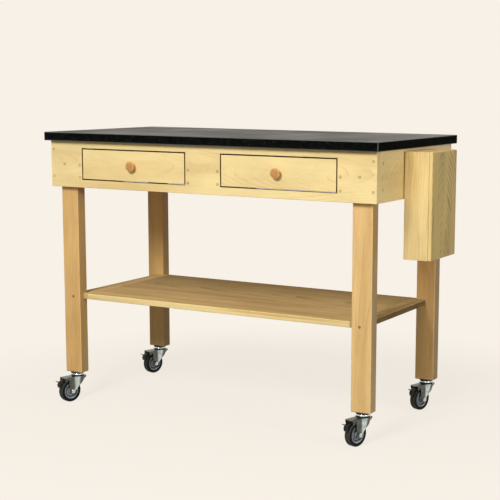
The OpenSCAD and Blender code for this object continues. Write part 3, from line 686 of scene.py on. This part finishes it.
def arc(centre, radius, start, end, steps):
    """Points of an arc in a profile, with its angles in degrees."""
    angles = [math.radians(start + (end - start) * i / steps) for i in range(steps + 1)]
    return [(centre[0] + radius * math.cos(a), centre[1] + radius * math.sin(a)) for a in angles]


def islands(node):
    """The box of each separate solid of a CAD node."""
    mesh = welded(node)
    left = set(mesh.verts)
    boxes = []
    while left:
        found = [left.pop()]
        for vertex in found:
            near = {edge.other_vert(vertex) for edge in vertex.link_edges} & left
            left -= near
            found.extend(near)
        places = [vertex.co for vertex in found]
        boxes.append(tuple(Vector(pick(place[i] for place in places) for i in range(3))
                           for pick in (min, max)))
    mesh.free()
    return sorted(boxes, key=lambda box: tuple(box[0]))


# Fasteners by Geometry Nodes

def build_fastener_tree():
    """Stands a pattern on each point, along the point's own direction, turned at random."""
    tree = bpy.data.node_groups.new("fasteners", "GeometryNodeTree")
    sockets = {"Geometry": "Geometry", "Pattern": "Object", "Material": "Material", "Seed": "Int"}
    for name, kind in sockets.items():
        tree.interface.new_socket(name=name, in_out="INPUT", socket_type="NodeSocket" + kind)
    tree.interface.new_socket(name="Geometry", in_out="OUTPUT", socket_type="NodeSocketGeometry")
    nodes = Nodes(tree)
    given = nodes.add("NodeGroupInput").outputs
    inward = nodes.add("GeometryNodeInputNamedAttribute", {"Name": "inward"}, data_type="FLOAT_VECTOR")
    aligned = nodes.add("FunctionNodeAlignRotationToVector", {"Vector": inward.outputs[0]}, axis="Z")
    pattern = nodes.add("GeometryNodeObjectInfo", {"Object": given["Pattern"]})
    points = nodes.add("GeometryNodeMeshToPoints", {"Mesh": given["Geometry"]})
    stood = nodes.add("GeometryNodeInstanceOnPoints", {
        "Points": points.outputs[0], "Instance": pattern.outputs["Geometry"], "Rotation": aligned.outputs[0]})
    spin = nodes.add("FunctionNodeRandomValue", {"Seed": given["Seed"]}, data_type="FLOAT")
    spin.inputs[3].default_value = 2 * math.pi
    turn = nodes.joined(0.0, 0.0, spin.outputs[1])
    spun = nodes.add("GeometryNodeRotateInstances", {
        "Instances": stood.outputs[0], "Rotation": turn, "Local Space": True})
    real = nodes.add("GeometryNodeRealizeInstances", {"Geometry": spun.outputs[0]})
    painted = nodes.add("GeometryNodeSetMaterial", {
        "Geometry": real.outputs[0], "Material": given["Material"]})
    nodes.add("NodeGroupOutput", {"Geometry": painted.outputs[0]})
    return tree


def fastener_spots():
    """Where each plug's outer face is, and the way into the wood."""
    top_low, top_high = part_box("stone_top")
    middle = (top_low + top_high) / 2
    spots = []
    for low, high in islands("screw_plugs"):
        extent = high - low
        axis = min(range(3), key=lambda i: extent[i])
        outer = high if (low + high)[axis] / 2 > middle[axis] else low
        face = (low + high) / 2
        face[axis] = outer[axis]
        inward = Vector((0, 0, 0))
        inward[axis] = -1 if outer is high else 1
        spots.append((face, inward))
    return spots


def fastened(node, pattern_mesh, material, seed):
    """One piece of many like fasteners that stands for a CAD node."""
    spots = fastener_spots()
    data = bpy.data.meshes.new(node + "_spots")
    data.from_pydata([place for place, inward in spots], [], [])
    directions = data.attributes.new("inward", "FLOAT_VECTOR", "POINT")
    for row, (place, inward) in zip(directions.data, spots):
        row.vector = inward
    pattern = linked(node + "_pattern", smoothed(node + "_pattern", pattern_mesh))
    holder = linked(node + "_spots", data)
    modifier = holder.modifiers.new("fasteners", "NODES")
    modifier.node_group = bpy.data.node_groups.get("fasteners") or build_fastener_tree()
    keys = {item.name: item.identifier for item in modifier.node_group.interface.items_tree
            if item.in_out == "INPUT"}
    modifier[keys["Pattern"]] = pattern
    modifier[keys["Material"]] = material
    modifier[keys["Seed"]] = seed
    whole = plain_mesh(holder)
    bpy.data.objects.remove(pattern)
    if len(whole.polygons) == 0:
        raise RuntimeError(node + " came out empty")
    shown(node, whole, [material])


# Faces that take a board's second material

def narrow_face(face):
    """Slot 1 for the faces and eased edges that don't look to the front or the back."""
    return int(abs(face.normal.y) < 0.95)


def in_opening(node):
    """Gives slot 1 to the narrow faces inside a board's openings, away from its outer edges."""
    low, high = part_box(node)
    margin = 12 * MM

    def slot_of(face):
        middle = face.calc_center_median()
        inside = all(low[i] + margin < middle[i] < high[i] - margin for i in (0, 2))
        return int(inside and narrow_face(face))

    return slot_of


def looks_along(axis, least):
    """Gives slot 1 to the faces that look along an axis, one way or the other."""
    number = AXES.index(axis)
    return lambda face: int(abs(face.normal[number]) > least)


# Operators

class PREPTABLE_OT_stone_top(bpy.types.Operator):
    """Build the stone top"""
    bl_idname = "prep_table.stone_top"
    bl_label = "Stone Top"

    def execute(self, context):
        settings = context.scene.prep_table_stone
        polished = stone("black_stone", settings.shine)
        # The ends get far weaker reflections so that they read darker: painted shade on the ends.
        shaded_end = stone("black_stone_end", settings.end_shine)
        eased("stone_top", settings.easing, [polished, shaded_end], looks_along("X", 0.9))
        return {"FINISHED"}


class PREPTABLE_OT_frame_boards(bpy.types.Operator):
    """Build the apron boards and the boards beside the drawers"""
    bl_idname = "prep_table.frame_boards"
    bl_label = "Frame Boards"

    def execute(self, context):
        woods = context.scene.prep_table_wood
        aprons = (
            ("front_apron", "X", (0.012, 0.075), 0.07, 0.45, 3.0),
            ("back_apron", "X", (-0.02, -0.09), 0.05, 0.45, 5.0),
            ("left_apron", "Y", (0.01, 0.08), 0.08, 0.8, 7.0),
            ("right_apron", "Y", (-0.01, -0.07), 0.16, 0.9, 11.0),
        )
        # The narrow faces inside the drawer openings take the dark wood: painted shade in the gaps.
        joint = painted_gap_shade()
        for node, grain, pith, tilt, strength, seed in aprons:
            boards = wood(node + "_wood", woods.frame_pale, woods.frame_dark, node, grain, "Z", pith=pith,
                          tilt=tilt, ring=6.0, strength=strength, blotches=0.35, end_tone=0.08, seed=seed)
            eased(node, woods.easing, [boards, joint], in_opening(node))
        for number, side in enumerate(SIDES):
            for edge in SIDES:
                node = f"{side}_drawer_case_{edge}"
                hidden = wood(node + "_wood", woods.box_pale, woods.box_dark, node, "Y", "Z",
                              seed=13.0 + number)
                eased(node, woods.easing, [hidden])
        return {"FINISHED"}


class PREPTABLE_OT_legs(bpy.types.Operator):
    """Build the four legs"""
    bl_idname = "prep_table.legs"
    bl_label = "Legs"

    def execute(self, context):
        woods = context.scene.prep_table_wood
        # Each leg's side faces are darkened by its own amount: painted shade, strongest on the back right
        # leg.
        painted_side_shades = (0.26, 0.42, 0.3, 0.52)
        for number, (corner, painted_side_shade) in enumerate(zip(CORNERS, painted_side_shades)):
            node = corner + "_leg"
            # The front right leg takes a paler copy of the leg wood: painted light.
            pale = woods.front_right_leg_lit if corner == "front_right" else woods.leg_pale
            post = wood(node + "_wood", pale, woods.leg_dark, node, "Z", "X",
                        pith=(0.05 - 0.02 * number, 0.11), tilt=0.012, ring=4.2, wave=10.0, strength=0.5,
                        streaks=0.3, blotches=0.4, painted_side_shade=painted_side_shade, gloss=0.2, seed=21.0 + number)
            eased(node, woods.easing, [post])
        return {"FINISHED"}


class PREPTABLE_OT_shelf(bpy.types.Operator):
    """Build the shelf and the boards across its ends"""
    bl_idname = "prep_table.shelf"
    bl_label = "Shelf"

    def execute(self, context):
        woods = context.scene.prep_table_wood
        # The shelf darkens towards the back and its end boards towards the right: painted shade under the
        # table.
        panel = wood("shelf_panel_wood", woods.shelf_pale, woods.shelf_dark, "shelf_panel", "X", "Y",
                     pith=(0.05, -0.12), tilt=0.03, ring=6.0, wave=22.0, strength=0.9, thinness=2.5,
                     streaks=0.4, blotches=0.4, fade=0.42, gloss=0.0, seed=31.0)
        edge = wood("shelf_edge_wood", woods.shelf_edge, woods.frame_dark, "shelf_panel", "X", "Z",
                    pith=(0.06, 0.0), tilt=0.002, ring=9.0, wave=3.0, strength=0.8, thinness=2.0,
                    gloss=0.08, seed=33.0)
        ends = wood("shelf_end_wood", woods.shelf_pale, woods.shelf_dark, "shelf_end_boards", "Y", "X",
                    pith=(0.5, -0.08), tilt=0.03, strength=0.9, thinness=2.5, streaks=0.3, painted_side_shade=0.6,
                    end_tone=0.2, fade=0.2, gloss=0.0, seed=37.0)
        eased("shelf_panel", woods.easing, [panel, edge], looks_along("Y", 0.5))
        eased("shelf_end_boards", woods.easing, [ends])
        return {"FINISHED"}


class PREPTABLE_OT_drawers(bpy.types.Operator):
    """Build the drawers' fronts and boxes"""
    bl_idname = "prep_table.drawers"
    bl_label = "Drawers"

    def execute(self, context):
        woods = context.scene.prep_table_wood
        parts = {"left_side": ("Y", "Z"), "right_side": ("Y", "Z"), "back": ("X", "Z"), "bottom": ("X", "Y")}
        fronts = {"left": ((0.004, 0.06), 0.1, 43.0), "right": ((-0.006, 0.045), -0.12, 47.0)}
        # The drawer fronts' narrow faces take the dark wood: painted shade in the gaps.
        joint = painted_gap_shade()
        for side in SIDES:
            node = side + "_drawer_front"
            pith, tilt, seed = fronts[side]
            front = wood(node + "_wood", woods.frame_pale, woods.frame_dark, node, "X", "Z",
                         pith=pith, tilt=tilt, ring=5.5, wave=16.0, strength=0.65, seed=seed)
            eased(node, woods.front_easing, [front, joint], narrow_face)
            for part, (grain, across) in parts.items():
                node = f"{side}_drawer_{part}"
                box = wood(node + "_wood", woods.box_pale, woods.box_dark, node, grain, across,
                           seed=seed + len(part))
                eased(node, woods.easing, [box])
        return {"FINISHED"}


class PREPTABLE_OT_knobs(bpy.types.Operator):
    """Turn the two drawer knobs"""
    bl_idname = "prep_table.knobs"
    bl_label = "Knobs"

    def execute(self, context):
        woods = context.scene.prep_table_wood
        for side in SIDES:
            node = side + "_drawer_knob"
            low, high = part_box(node)
            front_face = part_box(side + "_drawer_front")[0].y
            radius = (high.x - low.x) / 2
            stand = front_face - low.y
            pin = radius * 0.31
            pin_end = front_face - high.y
            neck = radius * 0.46
            dome = stand * 0.16
            rim = stand - dome
            profile = [(0, pin_end), (pin, pin_end), (pin, 0), (neck * 1.35, 0), (neck * 1.35, stand * 0.05)]
            profile += [(neck * 1.08, stand * 0.12), (neck, stand * 0.22), (neck * 1.02, stand * 0.38)]
            profile += [(neck * 1.2, stand * 0.5), (neck * 1.6, stand * 0.58), (radius * 0.96, stand * 0.64)]
            profile += [(radius, stand * 0.7), (radius, rim - stand * 0.02)]
            profile += [(radius * math.cos(a), rim + dome * math.sin(a))
                        for a in [math.radians(degrees) for degrees in range(8, 90, 9)]]
            profile += [(0, stand)]
            mesh = turned(profile, ((low.x + high.x) / 2, front_face, (low.z + high.z) / 2), (0, -1, 0), 56)
            turning = wood(node + "_wood", woods.knob_pale, woods.knob_dark, node, "Y", "Z",
                           pith=(0.01, 0.004), tilt=0.0, ring=4.5, wave=4.0, strength=1.0, thinness=1.2,
                           streaks=0.3, blotches=0.8, end_tone=0.1, seed=58.0)
            finished(node, mesh, [turning])
        return {"FINISHED"}


class PREPTABLE_OT_drawer_guides(bpy.types.Operator):
    """Build the strips that the drawers slide on"""
    bl_idname = "prep_table.drawer_guides"
    bl_label = "Drawer Guides"

    def execute(self, context):
        woods = context.scene.prep_table_wood
        strips = wood("guide_wood", woods.leg_pale, woods.leg_dark, "drawer_guides", "Y", "Z", seed=61.0)
        eased("drawer_guides", woods.easing, [strips])
        return {"FINISHED"}


class PREPTABLE_OT_plugs(bpy.types.Operator):
    """Stand a wooden plug over every screw"""
    bl_idname = "prep_table.plugs"
    bl_label = "Plugs"

    def execute(self, context):
        woods = context.scene.prep_table_wood
        sizes = context.scene.prep_table_fasteners
        radius = sizes.plug_radius
        lip = 0.15 * MM
        profile = [(0, 0), (radius * 0.6, 0), (radius - 2 * lip, 0), (radius, lip)]
        profile += [(radius, sizes.plug_length), (0, sizes.plug_length)]
        pattern = turned(profile, (0, 0, 0), (0, 0, 1), 24)
        rim = pattern.verts.layers.float.new("rim")
        for vertex in pattern.verts:
            vertex[rim] = 1.0 if vertex.co.xy.length > radius - 3 * lip else 0.0
        material, nodes = new_material("plug_wood")
        place = nodes.add("ShaderNodeTexCoord").outputs["Object"]
        edge = nodes.add("ShaderNodeAttribute", attribute_name="rim").outputs["Fac"]
        specks = nodes.noise(place, (900, 900, 900), 2.0).outputs["Fac"]
        patches = nodes.noise(place, (60, 60, 60), 1.0).outputs["Fac"]
        base = nodes.mix(nodes.ramp(specks, 0.35, 0.7, 0.0, 0.55), woods.plug_pale, woods.plug_dark)
        base = nodes.mix(nodes.math("MULTIPLY", nodes.ramp(edge, 0.3, 1.0), 0.7), base, woods.plug_dark)
        apron_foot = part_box("front_apron")[0].z
        in_legs = nodes.ramp(nodes.split(place)[2], apron_foot, apron_foot - 100 * MM, 0.0, 0.85)
        base = nodes.mix(in_legs, base, woods.leg_plug)
        base = nodes.scaled(base, nodes.ramp(patches, 0.3, 0.7, 0.8, 1.15))
        surface(nodes, {
            "Base Color": base, "Roughness": nodes.ramp(specks, 0.3, 0.7, 0.45, 0.6),
            "Coat Weight": woods.sheen, "Coat Roughness": 0.3,
        }, specks, strength=0.4, depth=0.1)
        fastened("screw_plugs", pattern, material, 4)
        return {"FINISHED"}


class PREPTABLE_OT_screws(bpy.types.Operator):
    """Drive a threaded screw below every plug"""
    bl_idname = "prep_table.screws"
    bl_label = "Screws"

    def execute(self, context):
        sizes = context.scene.prep_table_fasteners
        top = sizes.plug_length
        seat = top + sizes.head_height
        root = sizes.shank_radius * 0.68
        plain = seat + 8 * MM
        profile = [(0, top + 1.2 * MM), (1.2 * MM, top + 1.2 * MM), (1.6 * MM, top), (sizes.head_radius, top)]
        profile += [(sizes.head_radius, top + 0.5 * MM), (sizes.shank_radius, seat)]
        profile += [(sizes.shank_radius, plain)]
        threads = int((sizes.reach - 4 * MM - plain) / sizes.pitch)
        for turn in range(threads):
            start = plain + turn * sizes.pitch
            profile += [(root, start + 0.2 * sizes.pitch), (root, start + 0.7 * sizes.pitch)]
            profile += [(sizes.shank_radius, start + sizes.pitch)]
        profile += [(0, sizes.reach)]
        pattern = turned(profile, (0, 0, 0), (0, 0, 1), 16)
        plated = metal("screw_steel", sizes.metal, (0.25, 0.4), seed=2.0)
        fastened("wood_screws", pattern, plated, 9)
        return {"FINISHED"}


class PREPTABLE_OT_knife_block(bpy.types.Operator):
    """Build the knife block's laminations"""
    bl_idname = "prep_table.knife_block"
    bl_label = "Knife Block"

    def execute(self, context):
        woods = context.scene.prep_table_wood
        boards = (
            ("block_back_board", (0.03, 0.06), 0.04, 71.0),
            ("block_core_boards", (0.02, 0.05), 0.05, 73.0),
            ("block_slot_strips", (0.04, 0.07), 0.03, 79.0),
            ("block_face_board", (0.02, 0.05), 0.05, 81.0),
        )
        face_wood = wood("block_face_wood", woods.face_pale, woods.face_dark, "block_face_board", "Z", "Y",
                         pith=(-0.01, -0.08), tilt=-0.3, ring=8.0, wave=18.0, strength=0.9, thinness=2.0,
                         streaks=0.2, gloss=0.12, seed=83.0)
        for node, pith, tilt, seed in boards:
            board = wood(node + "_wood", woods.block_pale, woods.block_dark, node, "Z", "Y", pith=pith,
                         tilt=tilt, ring=4.0, wave=16.0, strength=0.5, thinness=3.0, streaks=0.35,
                         blotches=0.6, seed=seed)
            if node == "block_face_board":
                eased(node, woods.easing, [board, face_wood], looks_along("X", 0.7))
            else:
                eased(node, woods.easing, [board])
        return {"FINISHED"}


class PREPTABLE_OT_hanging_rails(bpy.types.Operator):
    """Finish the rails that the knife block hangs by"""
    bl_idname = "prep_table.hanging_rails"
    bl_label = "Hanging Rails"

    def execute(self, context):
        tint = context.scene.prep_table_fasteners.rail
        drawn = metal("rail_aluminium", tint, (0.3, 0.42), stretch=(900, 12, 900), seed=5.0)
        for node in ("apron_hanging_rail", "block_hanging_rail"):
            data = frame["nodes"][node].data
            data.materials.clear()
            data.materials.append(drawn)
        return {"FINISHED"}


class PREPTABLE_OT_caster_stems(bpy.types.Operator):
    """Turn the casters' stems, collars and races"""
    bl_idname = "prep_table.caster_stems"
    bl_label = "Caster Stems"

    def execute(self, context):
        casters = context.scene.prep_table_casters
        black = moulded("collar_plastic", casters.black, 0.4, 0.6, 0.1, dust=casters.dust)
        chrome = metal("race_chrome", casters.chrome, (0.08, 0.16), seed=1.0, dust=casters.dust * 0.3)
        steel = metal("stem_steel", casters.bolt, (0.25, 0.4), seed=2.0)
        for corner in CORNERS:
            node = corner + "_caster_stem"
            low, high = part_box(node)
            centre = ((low.x + high.x) / 2, (low.y + high.y) / 2, 0)
            profile, slots = self.outline(low, high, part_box(corner + "_leg")[0].z)
            mesh = turned(profile, centre, (0, 0, 1), slots=slots)
            finished(node, mesh, [black, chrome, steel])
        return {"FINISHED"}

    def outline(self, low, high, leg_foot):
        """The stem's outline from its riveted foot up: neck, bright race, black collar and the stem."""
        foot, foot_height = 8 * MM, 2.5 * MM
        neck = 5 * MM
        stem, stem_chamfer = 6 * MM, 1.5 * MM
        edge = 0.8 * MM
        collar = (high.x - low.x) / 2
        collar_edge = 1 * MM
        race = collar - collar_edge
        race_top = leg_foot - 3.5 * MM
        bulge = 4.35 * MM
        race_low = race_top - 2 * bulge
        steel = [(0, low.z), (foot - edge, low.z), (foot, low.z + edge), (foot, low.z + foot_height)]
        steel += [(neck, low.z + foot_height), (neck, race_low)]
        chrome = [(race - bulge * 0.6, race_low)]
        chrome += arc((race - bulge, race_low + bulge), bulge, -60, 90, 8)
        black = [(collar - 3 * MM, race_top), (race, race_top)]
        black += arc((race, race_top + collar_edge), collar_edge, -60, 0, 3)
        black += [(collar, leg_foot - edge), (collar - edge, leg_foot)]
        inside = [(stem, leg_foot), (stem, high.z - stem_chamfer), (stem - stem_chamfer, high.z), (0, high.z)]
        stretches = [2] * len(steel) + [1] * len(chrome) + [0] * len(black) + [2] * len(inside)
        return steel + chrome + black + inside, dict(enumerate(stretches))


class PREPTABLE_OT_caster_forks(bpy.types.Operator):
    """Build the casters' pressed forks with their black seals"""
    bl_idname = "prep_table.caster_forks"
    bl_label = "Caster Forks"

    def execute(self, context):
        casters = context.scene.prep_table_casters
        black = moulded("seal_rubber", casters.black, 0.45, 0.6, 0.1, dust=casters.dust)
        seal_height = 1.9 * MM
        for corner in CORNERS:
            node = corner + "_caster_fork"
            seal_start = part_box(node)[1].z - seal_height
            eased(node, casters.easing, [pressed_zinc(corner), black],
                  lambda face, start=seal_start: int(face.calc_center_median().z > start))
        return {"FINISHED"}


class PREPTABLE_OT_caster_axles(bpy.types.Operator):
    """Build the casters' axle bolts"""
    bl_idname = "prep_table.caster_axles"
    bl_label = "Caster Axles"

    def execute(self, context):
        casters = context.scene.prep_table_casters
        bolt = metal("axle_steel", casters.bolt, (0.14, 0.26), seed=4.0, dust=casters.dust * 0.3)
        for corner in CORNERS:
            eased(corner + "_caster_axle", casters.easing, [bolt])
        return {"FINISHED"}


class PREPTABLE_OT_caster_wheels(bpy.types.Operator):
    """Turn the casters' hubs and tyres"""
    bl_idname = "prep_table.caster_wheels"
    bl_label = "Caster Wheels"
    tyre_half = 12 * MM
    tyre_depth = 9 * MM

    def execute(self, context):
        casters = context.scene.prep_table_casters
        grey = moulded("hub_plastic", casters.hub, 0.45, 0.5, 0.15, dust=casters.dust)
        # The raised ring's paler plastic is a painted highlight, and the sunk rings' near-black plastic is
        # painted shade.
        ring = moulded("hub_rim_plastic", casters.hub_ring_painted_highlight, 0.4, 0.5, 0.1, seed=1.0, dust=casters.dust)
        groove_shade = moulded("hub_groove_plastic", casters.hub_groove_painted_shade, 0.5, 0.5, 0.1, seed=2.0, dust=casters.dust)
        rubber = moulded("tyre_rubber", casters.rubber, 0.62, 0.8, 0.3, shine=0.12)
        tread = moulded("tread_rubber", casters.tread, 0.7, 0.8, 0.3, seed=3.0, dust=casters.dust, shine=0.2)
        for corner in CORNERS:
            joint = JOINTS[corner + "_wheel_spin"]
            radius = joint["pos_m"][2]
            profile, slots = self.hub_outline(radius)
            finished(corner + "_caster_hub", turned_wheel(profile, joint, slots), [grey, ring, groove_shade])
            profile, slots = self.tyre_outline(radius)
            finished(corner + "_caster_tyre", turned_wheel(profile, joint, slots), [rubber, tread])
        return {"FINISHED"}

    def hub_outline(self, radius):
        """Half of the hub's outline from the bore outwards: boss, web with a bead, raised ring and rim."""
        bore = 4.05 * MM
        boss = 10 * MM
        boss_half = 13 * MM
        chamfer = 0.8 * MM
        web = 5 * MM
        bead = 1 * MM
        bead_start, bead_end = 15 * MM, 17.5 * MM
        slope = 0.5 * MM
        rim = radius - self.tyre_depth
        rim_face = self.tyre_half - 1.5 * MM
        half = [(bore, boss_half), (boss - chamfer, boss_half), (boss, boss_half - chamfer)]
        half += [(boss, web + bead), (boss + bead, web), (bead_start, web), (bead_start + slope, web + bead)]
        half += [(bead_end - slope, web + bead), (bead_end, web)]
        half += [(rim - 6 * MM, web), (rim - 5.4 * MM, rim_face - bead), (rim - 4.6 * MM, rim_face)]
        half += [(rim - 3 * MM, rim_face), (rim - 0.6 * MM, rim_face), (rim, rim_face - 0.7 * MM)]
        # The raised ring takes the paler slot as a painted highlight; the sunk stretches take the dark slot
        # as painted shade.
        raised = {10: 1, 11: 1}
        sunk = {3: 2, 8: 2, 12: 2, 13: 2}
        return half, raised | sunk

    def tyre_outline(self, radius):
        """Half of the tyre's outline from the rim outwards: a bead, the wall, the shoulder and the tread."""
        rim = radius - self.tyre_depth
        wall = self.tyre_half
        shoulder = 5 * MM
        bead = 1 * MM
        half = [(rim + 0.05 * MM, wall - bead), (rim + bead, wall), (rim + 2 * bead, wall - 0.4 * MM)]
        half += [(radius - shoulder, wall)]
        half += arc((radius - shoulder, wall - shoulder), shoulder, 75, 0, 5)
        tread_start = len(half) - 4
        half += [(radius, 0.5 * MM), (radius - 0.25 * MM, 0.2 * MM)]
        return half, {stretch: 1 for stretch in range(tread_start, len(half))}


class PREPTABLE_OT_caster_brakes(bpy.types.Operator):
    """Build the casters' brake pedals with their steel tips"""
    bl_idname = "prep_table.caster_brakes"
    bl_label = "Caster Brakes"

    def execute(self, context):
        casters = context.scene.prep_table_casters
        black = moulded("pedal_plastic", casters.black, 0.35, 0.6, 0.12, dust=casters.dust, shine=0.25)
        steel = metal("pedal_steel", casters.zinc, (0.25, 0.4), seed=6.0, dust=casters.dust)
        tip_length = 8 * MM
        tip_drop = 10 * MM
        for corner in CORNERS:
            node = corner + "_caster_brake"
            pivot = Vector(JOINTS[corner + "_caster_swivel"]["pos_m"])
            reaches = [(vertex.co - pivot).xy.length for vertex in frame["nodes"][node].data.vertices]
            tip_start = max(reaches) - tip_length
            tip_low = JOINTS[corner + "_brake_press"]["pos_m"][2] - tip_drop

            def slot_of(face, pivot=pivot, tip_start=tip_start, tip_low=tip_low):
                middle = face.calc_center_median()
                return int((middle - pivot).xy.length > tip_start and middle.z > tip_low)

            eased(node, casters.easing, [black, steel], slot_of)
        return {"FINISHED"}


class PREPTABLE_OT_stage(bpy.types.Operator):
    """Set up the pale floor, the lamps and the camera"""
    bl_idname = "prep_table.stage"
    bl_label = "Stage"

    def execute(self, context):
        stage = context.scene.prep_table_stage
        self.build_floor(stage)
        self.build_world(context.scene, stage)
        target = Vector((0, 0, (cad_low.z + cad_high.z) / 2))
        self.add_lamp("key", stage.key_place, target, stage.key_power, stage.key_width)
        self.add_lamp("fill", stage.fill_place, target, stage.fill_power, stage.fill_width)
        self.add_camera(context.scene, stage)
        context.scene.view_settings.view_transform = "Standard"
        return {"FINISHED"}

    def seen(self, nodes):
        """1 for the rays that show the background as it is: the camera's, and glossy and clear ones."""
        path = nodes.add("ShaderNodeLightPath").outputs
        clear = nodes.math("MAXIMUM", path["Is Glossy Ray"], path["Is Transmission Ray"])
        return nodes.math("MAXIMUM", path["Is Camera Ray"], clear)

    def build_floor(self, stage):
        """A wide pale disc that keeps a soft shadow near the table and fades into the background."""
        mesh = bmesh.new()
        bmesh.ops.create_circle(mesh, cap_ends=True, segments=64, radius=stage.floor_radius)
        data = bpy.data.meshes.new("floor")
        mesh.to_mesh(data)
        mesh.free()
        floor = linked("floor", data)
        material, nodes = new_material("pale_floor")
        place = nodes.add("ShaderNodeTexCoord").outputs["Object"]
        away = nodes.vector("LENGTH", place)
        near = nodes.ramp(away, stage.shadow_start, stage.shadow_end, stage.shadow, 0.0)
        hidden = nodes.math("SUBTRACT", 1.0, self.seen(nodes))
        lit = nodes.math("MAXIMUM", near, hidden)
        plain = nodes.add("ShaderNodeEmission", {"Color": stage.backdrop, "Strength": 1.0})
        bounce = nodes.scaled(stage.backdrop, nodes.ramp(hidden, 0.0, 1.0, 1.0, stage.bounce))
        matt = nodes.add("ShaderNodeBsdfDiffuse", {"Color": bounce})
        put_out(nodes, nodes.add("ShaderNodeMixShader", {0: lit, 1: plain.outputs[0], 2: matt.outputs[0]}))
        data.materials.append(material)

    def build_world(self, scene, stage):
        """Even light from all round, with the plain backdrop where it is seen."""
        world = bpy.data.worlds.new("pale_studio")
        scene.world = world
        world.use_nodes = True
        world.node_tree.nodes.clear()
        nodes = Nodes(world.node_tree)
        soft = nodes.add("ShaderNodeBackground", {"Color": stage.backdrop, "Strength": stage.ambient})
        plain = nodes.add("ShaderNodeBackground", {"Color": stage.backdrop, "Strength": 1.0})
        both = nodes.add("ShaderNodeMixShader", {
            0: self.seen(nodes), 1: soft.outputs[0], 2: plain.outputs[0]})
        nodes.add("ShaderNodeOutputWorld", {"Surface": both.outputs[0]})

    def add_lamp(self, name, place, target, watts, width):
        """A soft round lamp that looks at the target."""
        lamp = bpy.data.lights.new(name, "AREA")
        lamp.shape = "DISK"
        lamp.size = width
        lamp.energy = watts
        holder = linked(name, lamp)
        holder.location = place
        holder.rotation_euler = (target - Vector(place)).to_track_quat("-Z", "Y").to_euler()

    def add_camera(self, scene, stage):
        """The photograph's own view: place, direction, lens and framing."""
        yaw, pitch, roll = stage.camera_yaw, stage.camera_pitch, stage.camera_roll
        ahead = Vector((-math.sin(yaw) * math.cos(pitch), math.cos(yaw) * math.cos(pitch), -math.sin(pitch)))
        level = Vector((math.cos(yaw), math.sin(yaw), 0))
        above = level.cross(ahead)
        right = math.cos(roll) * level + math.sin(roll) * above
        up = math.cos(roll) * above - math.sin(roll) * level
        camera = bpy.data.cameras.new("camera")
        camera.sensor_width = 36
        camera.lens = stage.lens
        camera.shift_x = (PHOTO_SIZE / 2 - stage.middle[0]) / PHOTO_SIZE
        camera.shift_y = (stage.middle[1] - PHOTO_SIZE / 2) / PHOTO_SIZE
        holder = linked("camera", camera)
        turn = Matrix((right, up, -ahead)).transposed().to_4x4()
        holder.matrix_world = Matrix.Translation(Vector(stage.camera_place)) @ turn
        scene.camera = holder


class PREPTABLE_PT_sidebar(bpy.types.Panel):
    """Lists the pieces of the prep table"""
    bl_idname = "PREPTABLE_PT_sidebar"
    bl_label = "Prep Table"
    bl_space_type = "VIEW_3D"
    bl_region_type = "UI"
    bl_category = "Prep Table"

    def draw(self, context):
        for operator in OPERATORS:
            self.layout.operator(operator.bl_idname)
        for name in SETTINGS:
            group = getattr(context.scene, name)
            column = self.layout.column(heading=group.bl_rna.description)
            for key in group.__annotations__:
                column.prop(group, key)


SETTINGS = {
    "prep_table_stone": StoneSettings,
    "prep_table_wood": WoodSettings,
    "prep_table_fasteners": FastenerSettings,
    "prep_table_casters": CasterSettings,
    "prep_table_stage": StageSettings,
}
OPERATORS = (
    PREPTABLE_OT_stone_top,
    PREPTABLE_OT_frame_boards,
    PREPTABLE_OT_legs,
    PREPTABLE_OT_shelf,
    PREPTABLE_OT_drawers,
    PREPTABLE_OT_knobs,
    PREPTABLE_OT_drawer_guides,
    PREPTABLE_OT_plugs,
    PREPTABLE_OT_screws,
    PREPTABLE_OT_knife_block,
    PREPTABLE_OT_hanging_rails,
    PREPTABLE_OT_caster_stems,
    PREPTABLE_OT_caster_forks,
    PREPTABLE_OT_caster_axles,
    PREPTABLE_OT_caster_wheels,
    PREPTABLE_OT_caster_brakes,
    PREPTABLE_OT_stage,
)


def register():
    for kind in (*SETTINGS.values(), *OPERATORS, PREPTABLE_PT_sidebar):
        bpy.utils.register_class(kind)
    for name, kind in SETTINGS.items():
        setattr(bpy.types.Scene, name, bpy.props.PointerProperty(type=kind))


def unregister():
    for name in SETTINGS:
        delattr(bpy.types.Scene, name)
    for kind in (PREPTABLE_PT_sidebar, *reversed(OPERATORS), *SETTINGS.values()):
        bpy.utils.unregister_class(kind)


def clear_startup():
    """Removes the startup file's own objects."""
    kept = {*frame["nodes"].values(), *frame["bodies"].values()}
    for item in list(bpy.data.objects):
        if item not in kept:
            bpy.data.objects.remove(item)


def main():
    clear_startup()
    register()
    bpy.ops.prep_table.stone_top()
    bpy.ops.prep_table.frame_boards()
    bpy.ops.prep_table.legs()
    bpy.ops.prep_table.shelf()
    bpy.ops.prep_table.drawers()
    bpy.ops.prep_table.knobs()
    bpy.ops.prep_table.drawer_guides()
    bpy.ops.prep_table.plugs()
    bpy.ops.prep_table.screws()
    bpy.ops.prep_table.knife_block()
    bpy.ops.prep_table.hanging_rails()
    bpy.ops.prep_table.caster_stems()
    bpy.ops.prep_table.caster_forks()
    bpy.ops.prep_table.caster_axles()
    bpy.ops.prep_table.caster_wheels()
    bpy.ops.prep_table.caster_brakes()
    bpy.ops.prep_table.stage()


if __name__ == "__main__":
    main()
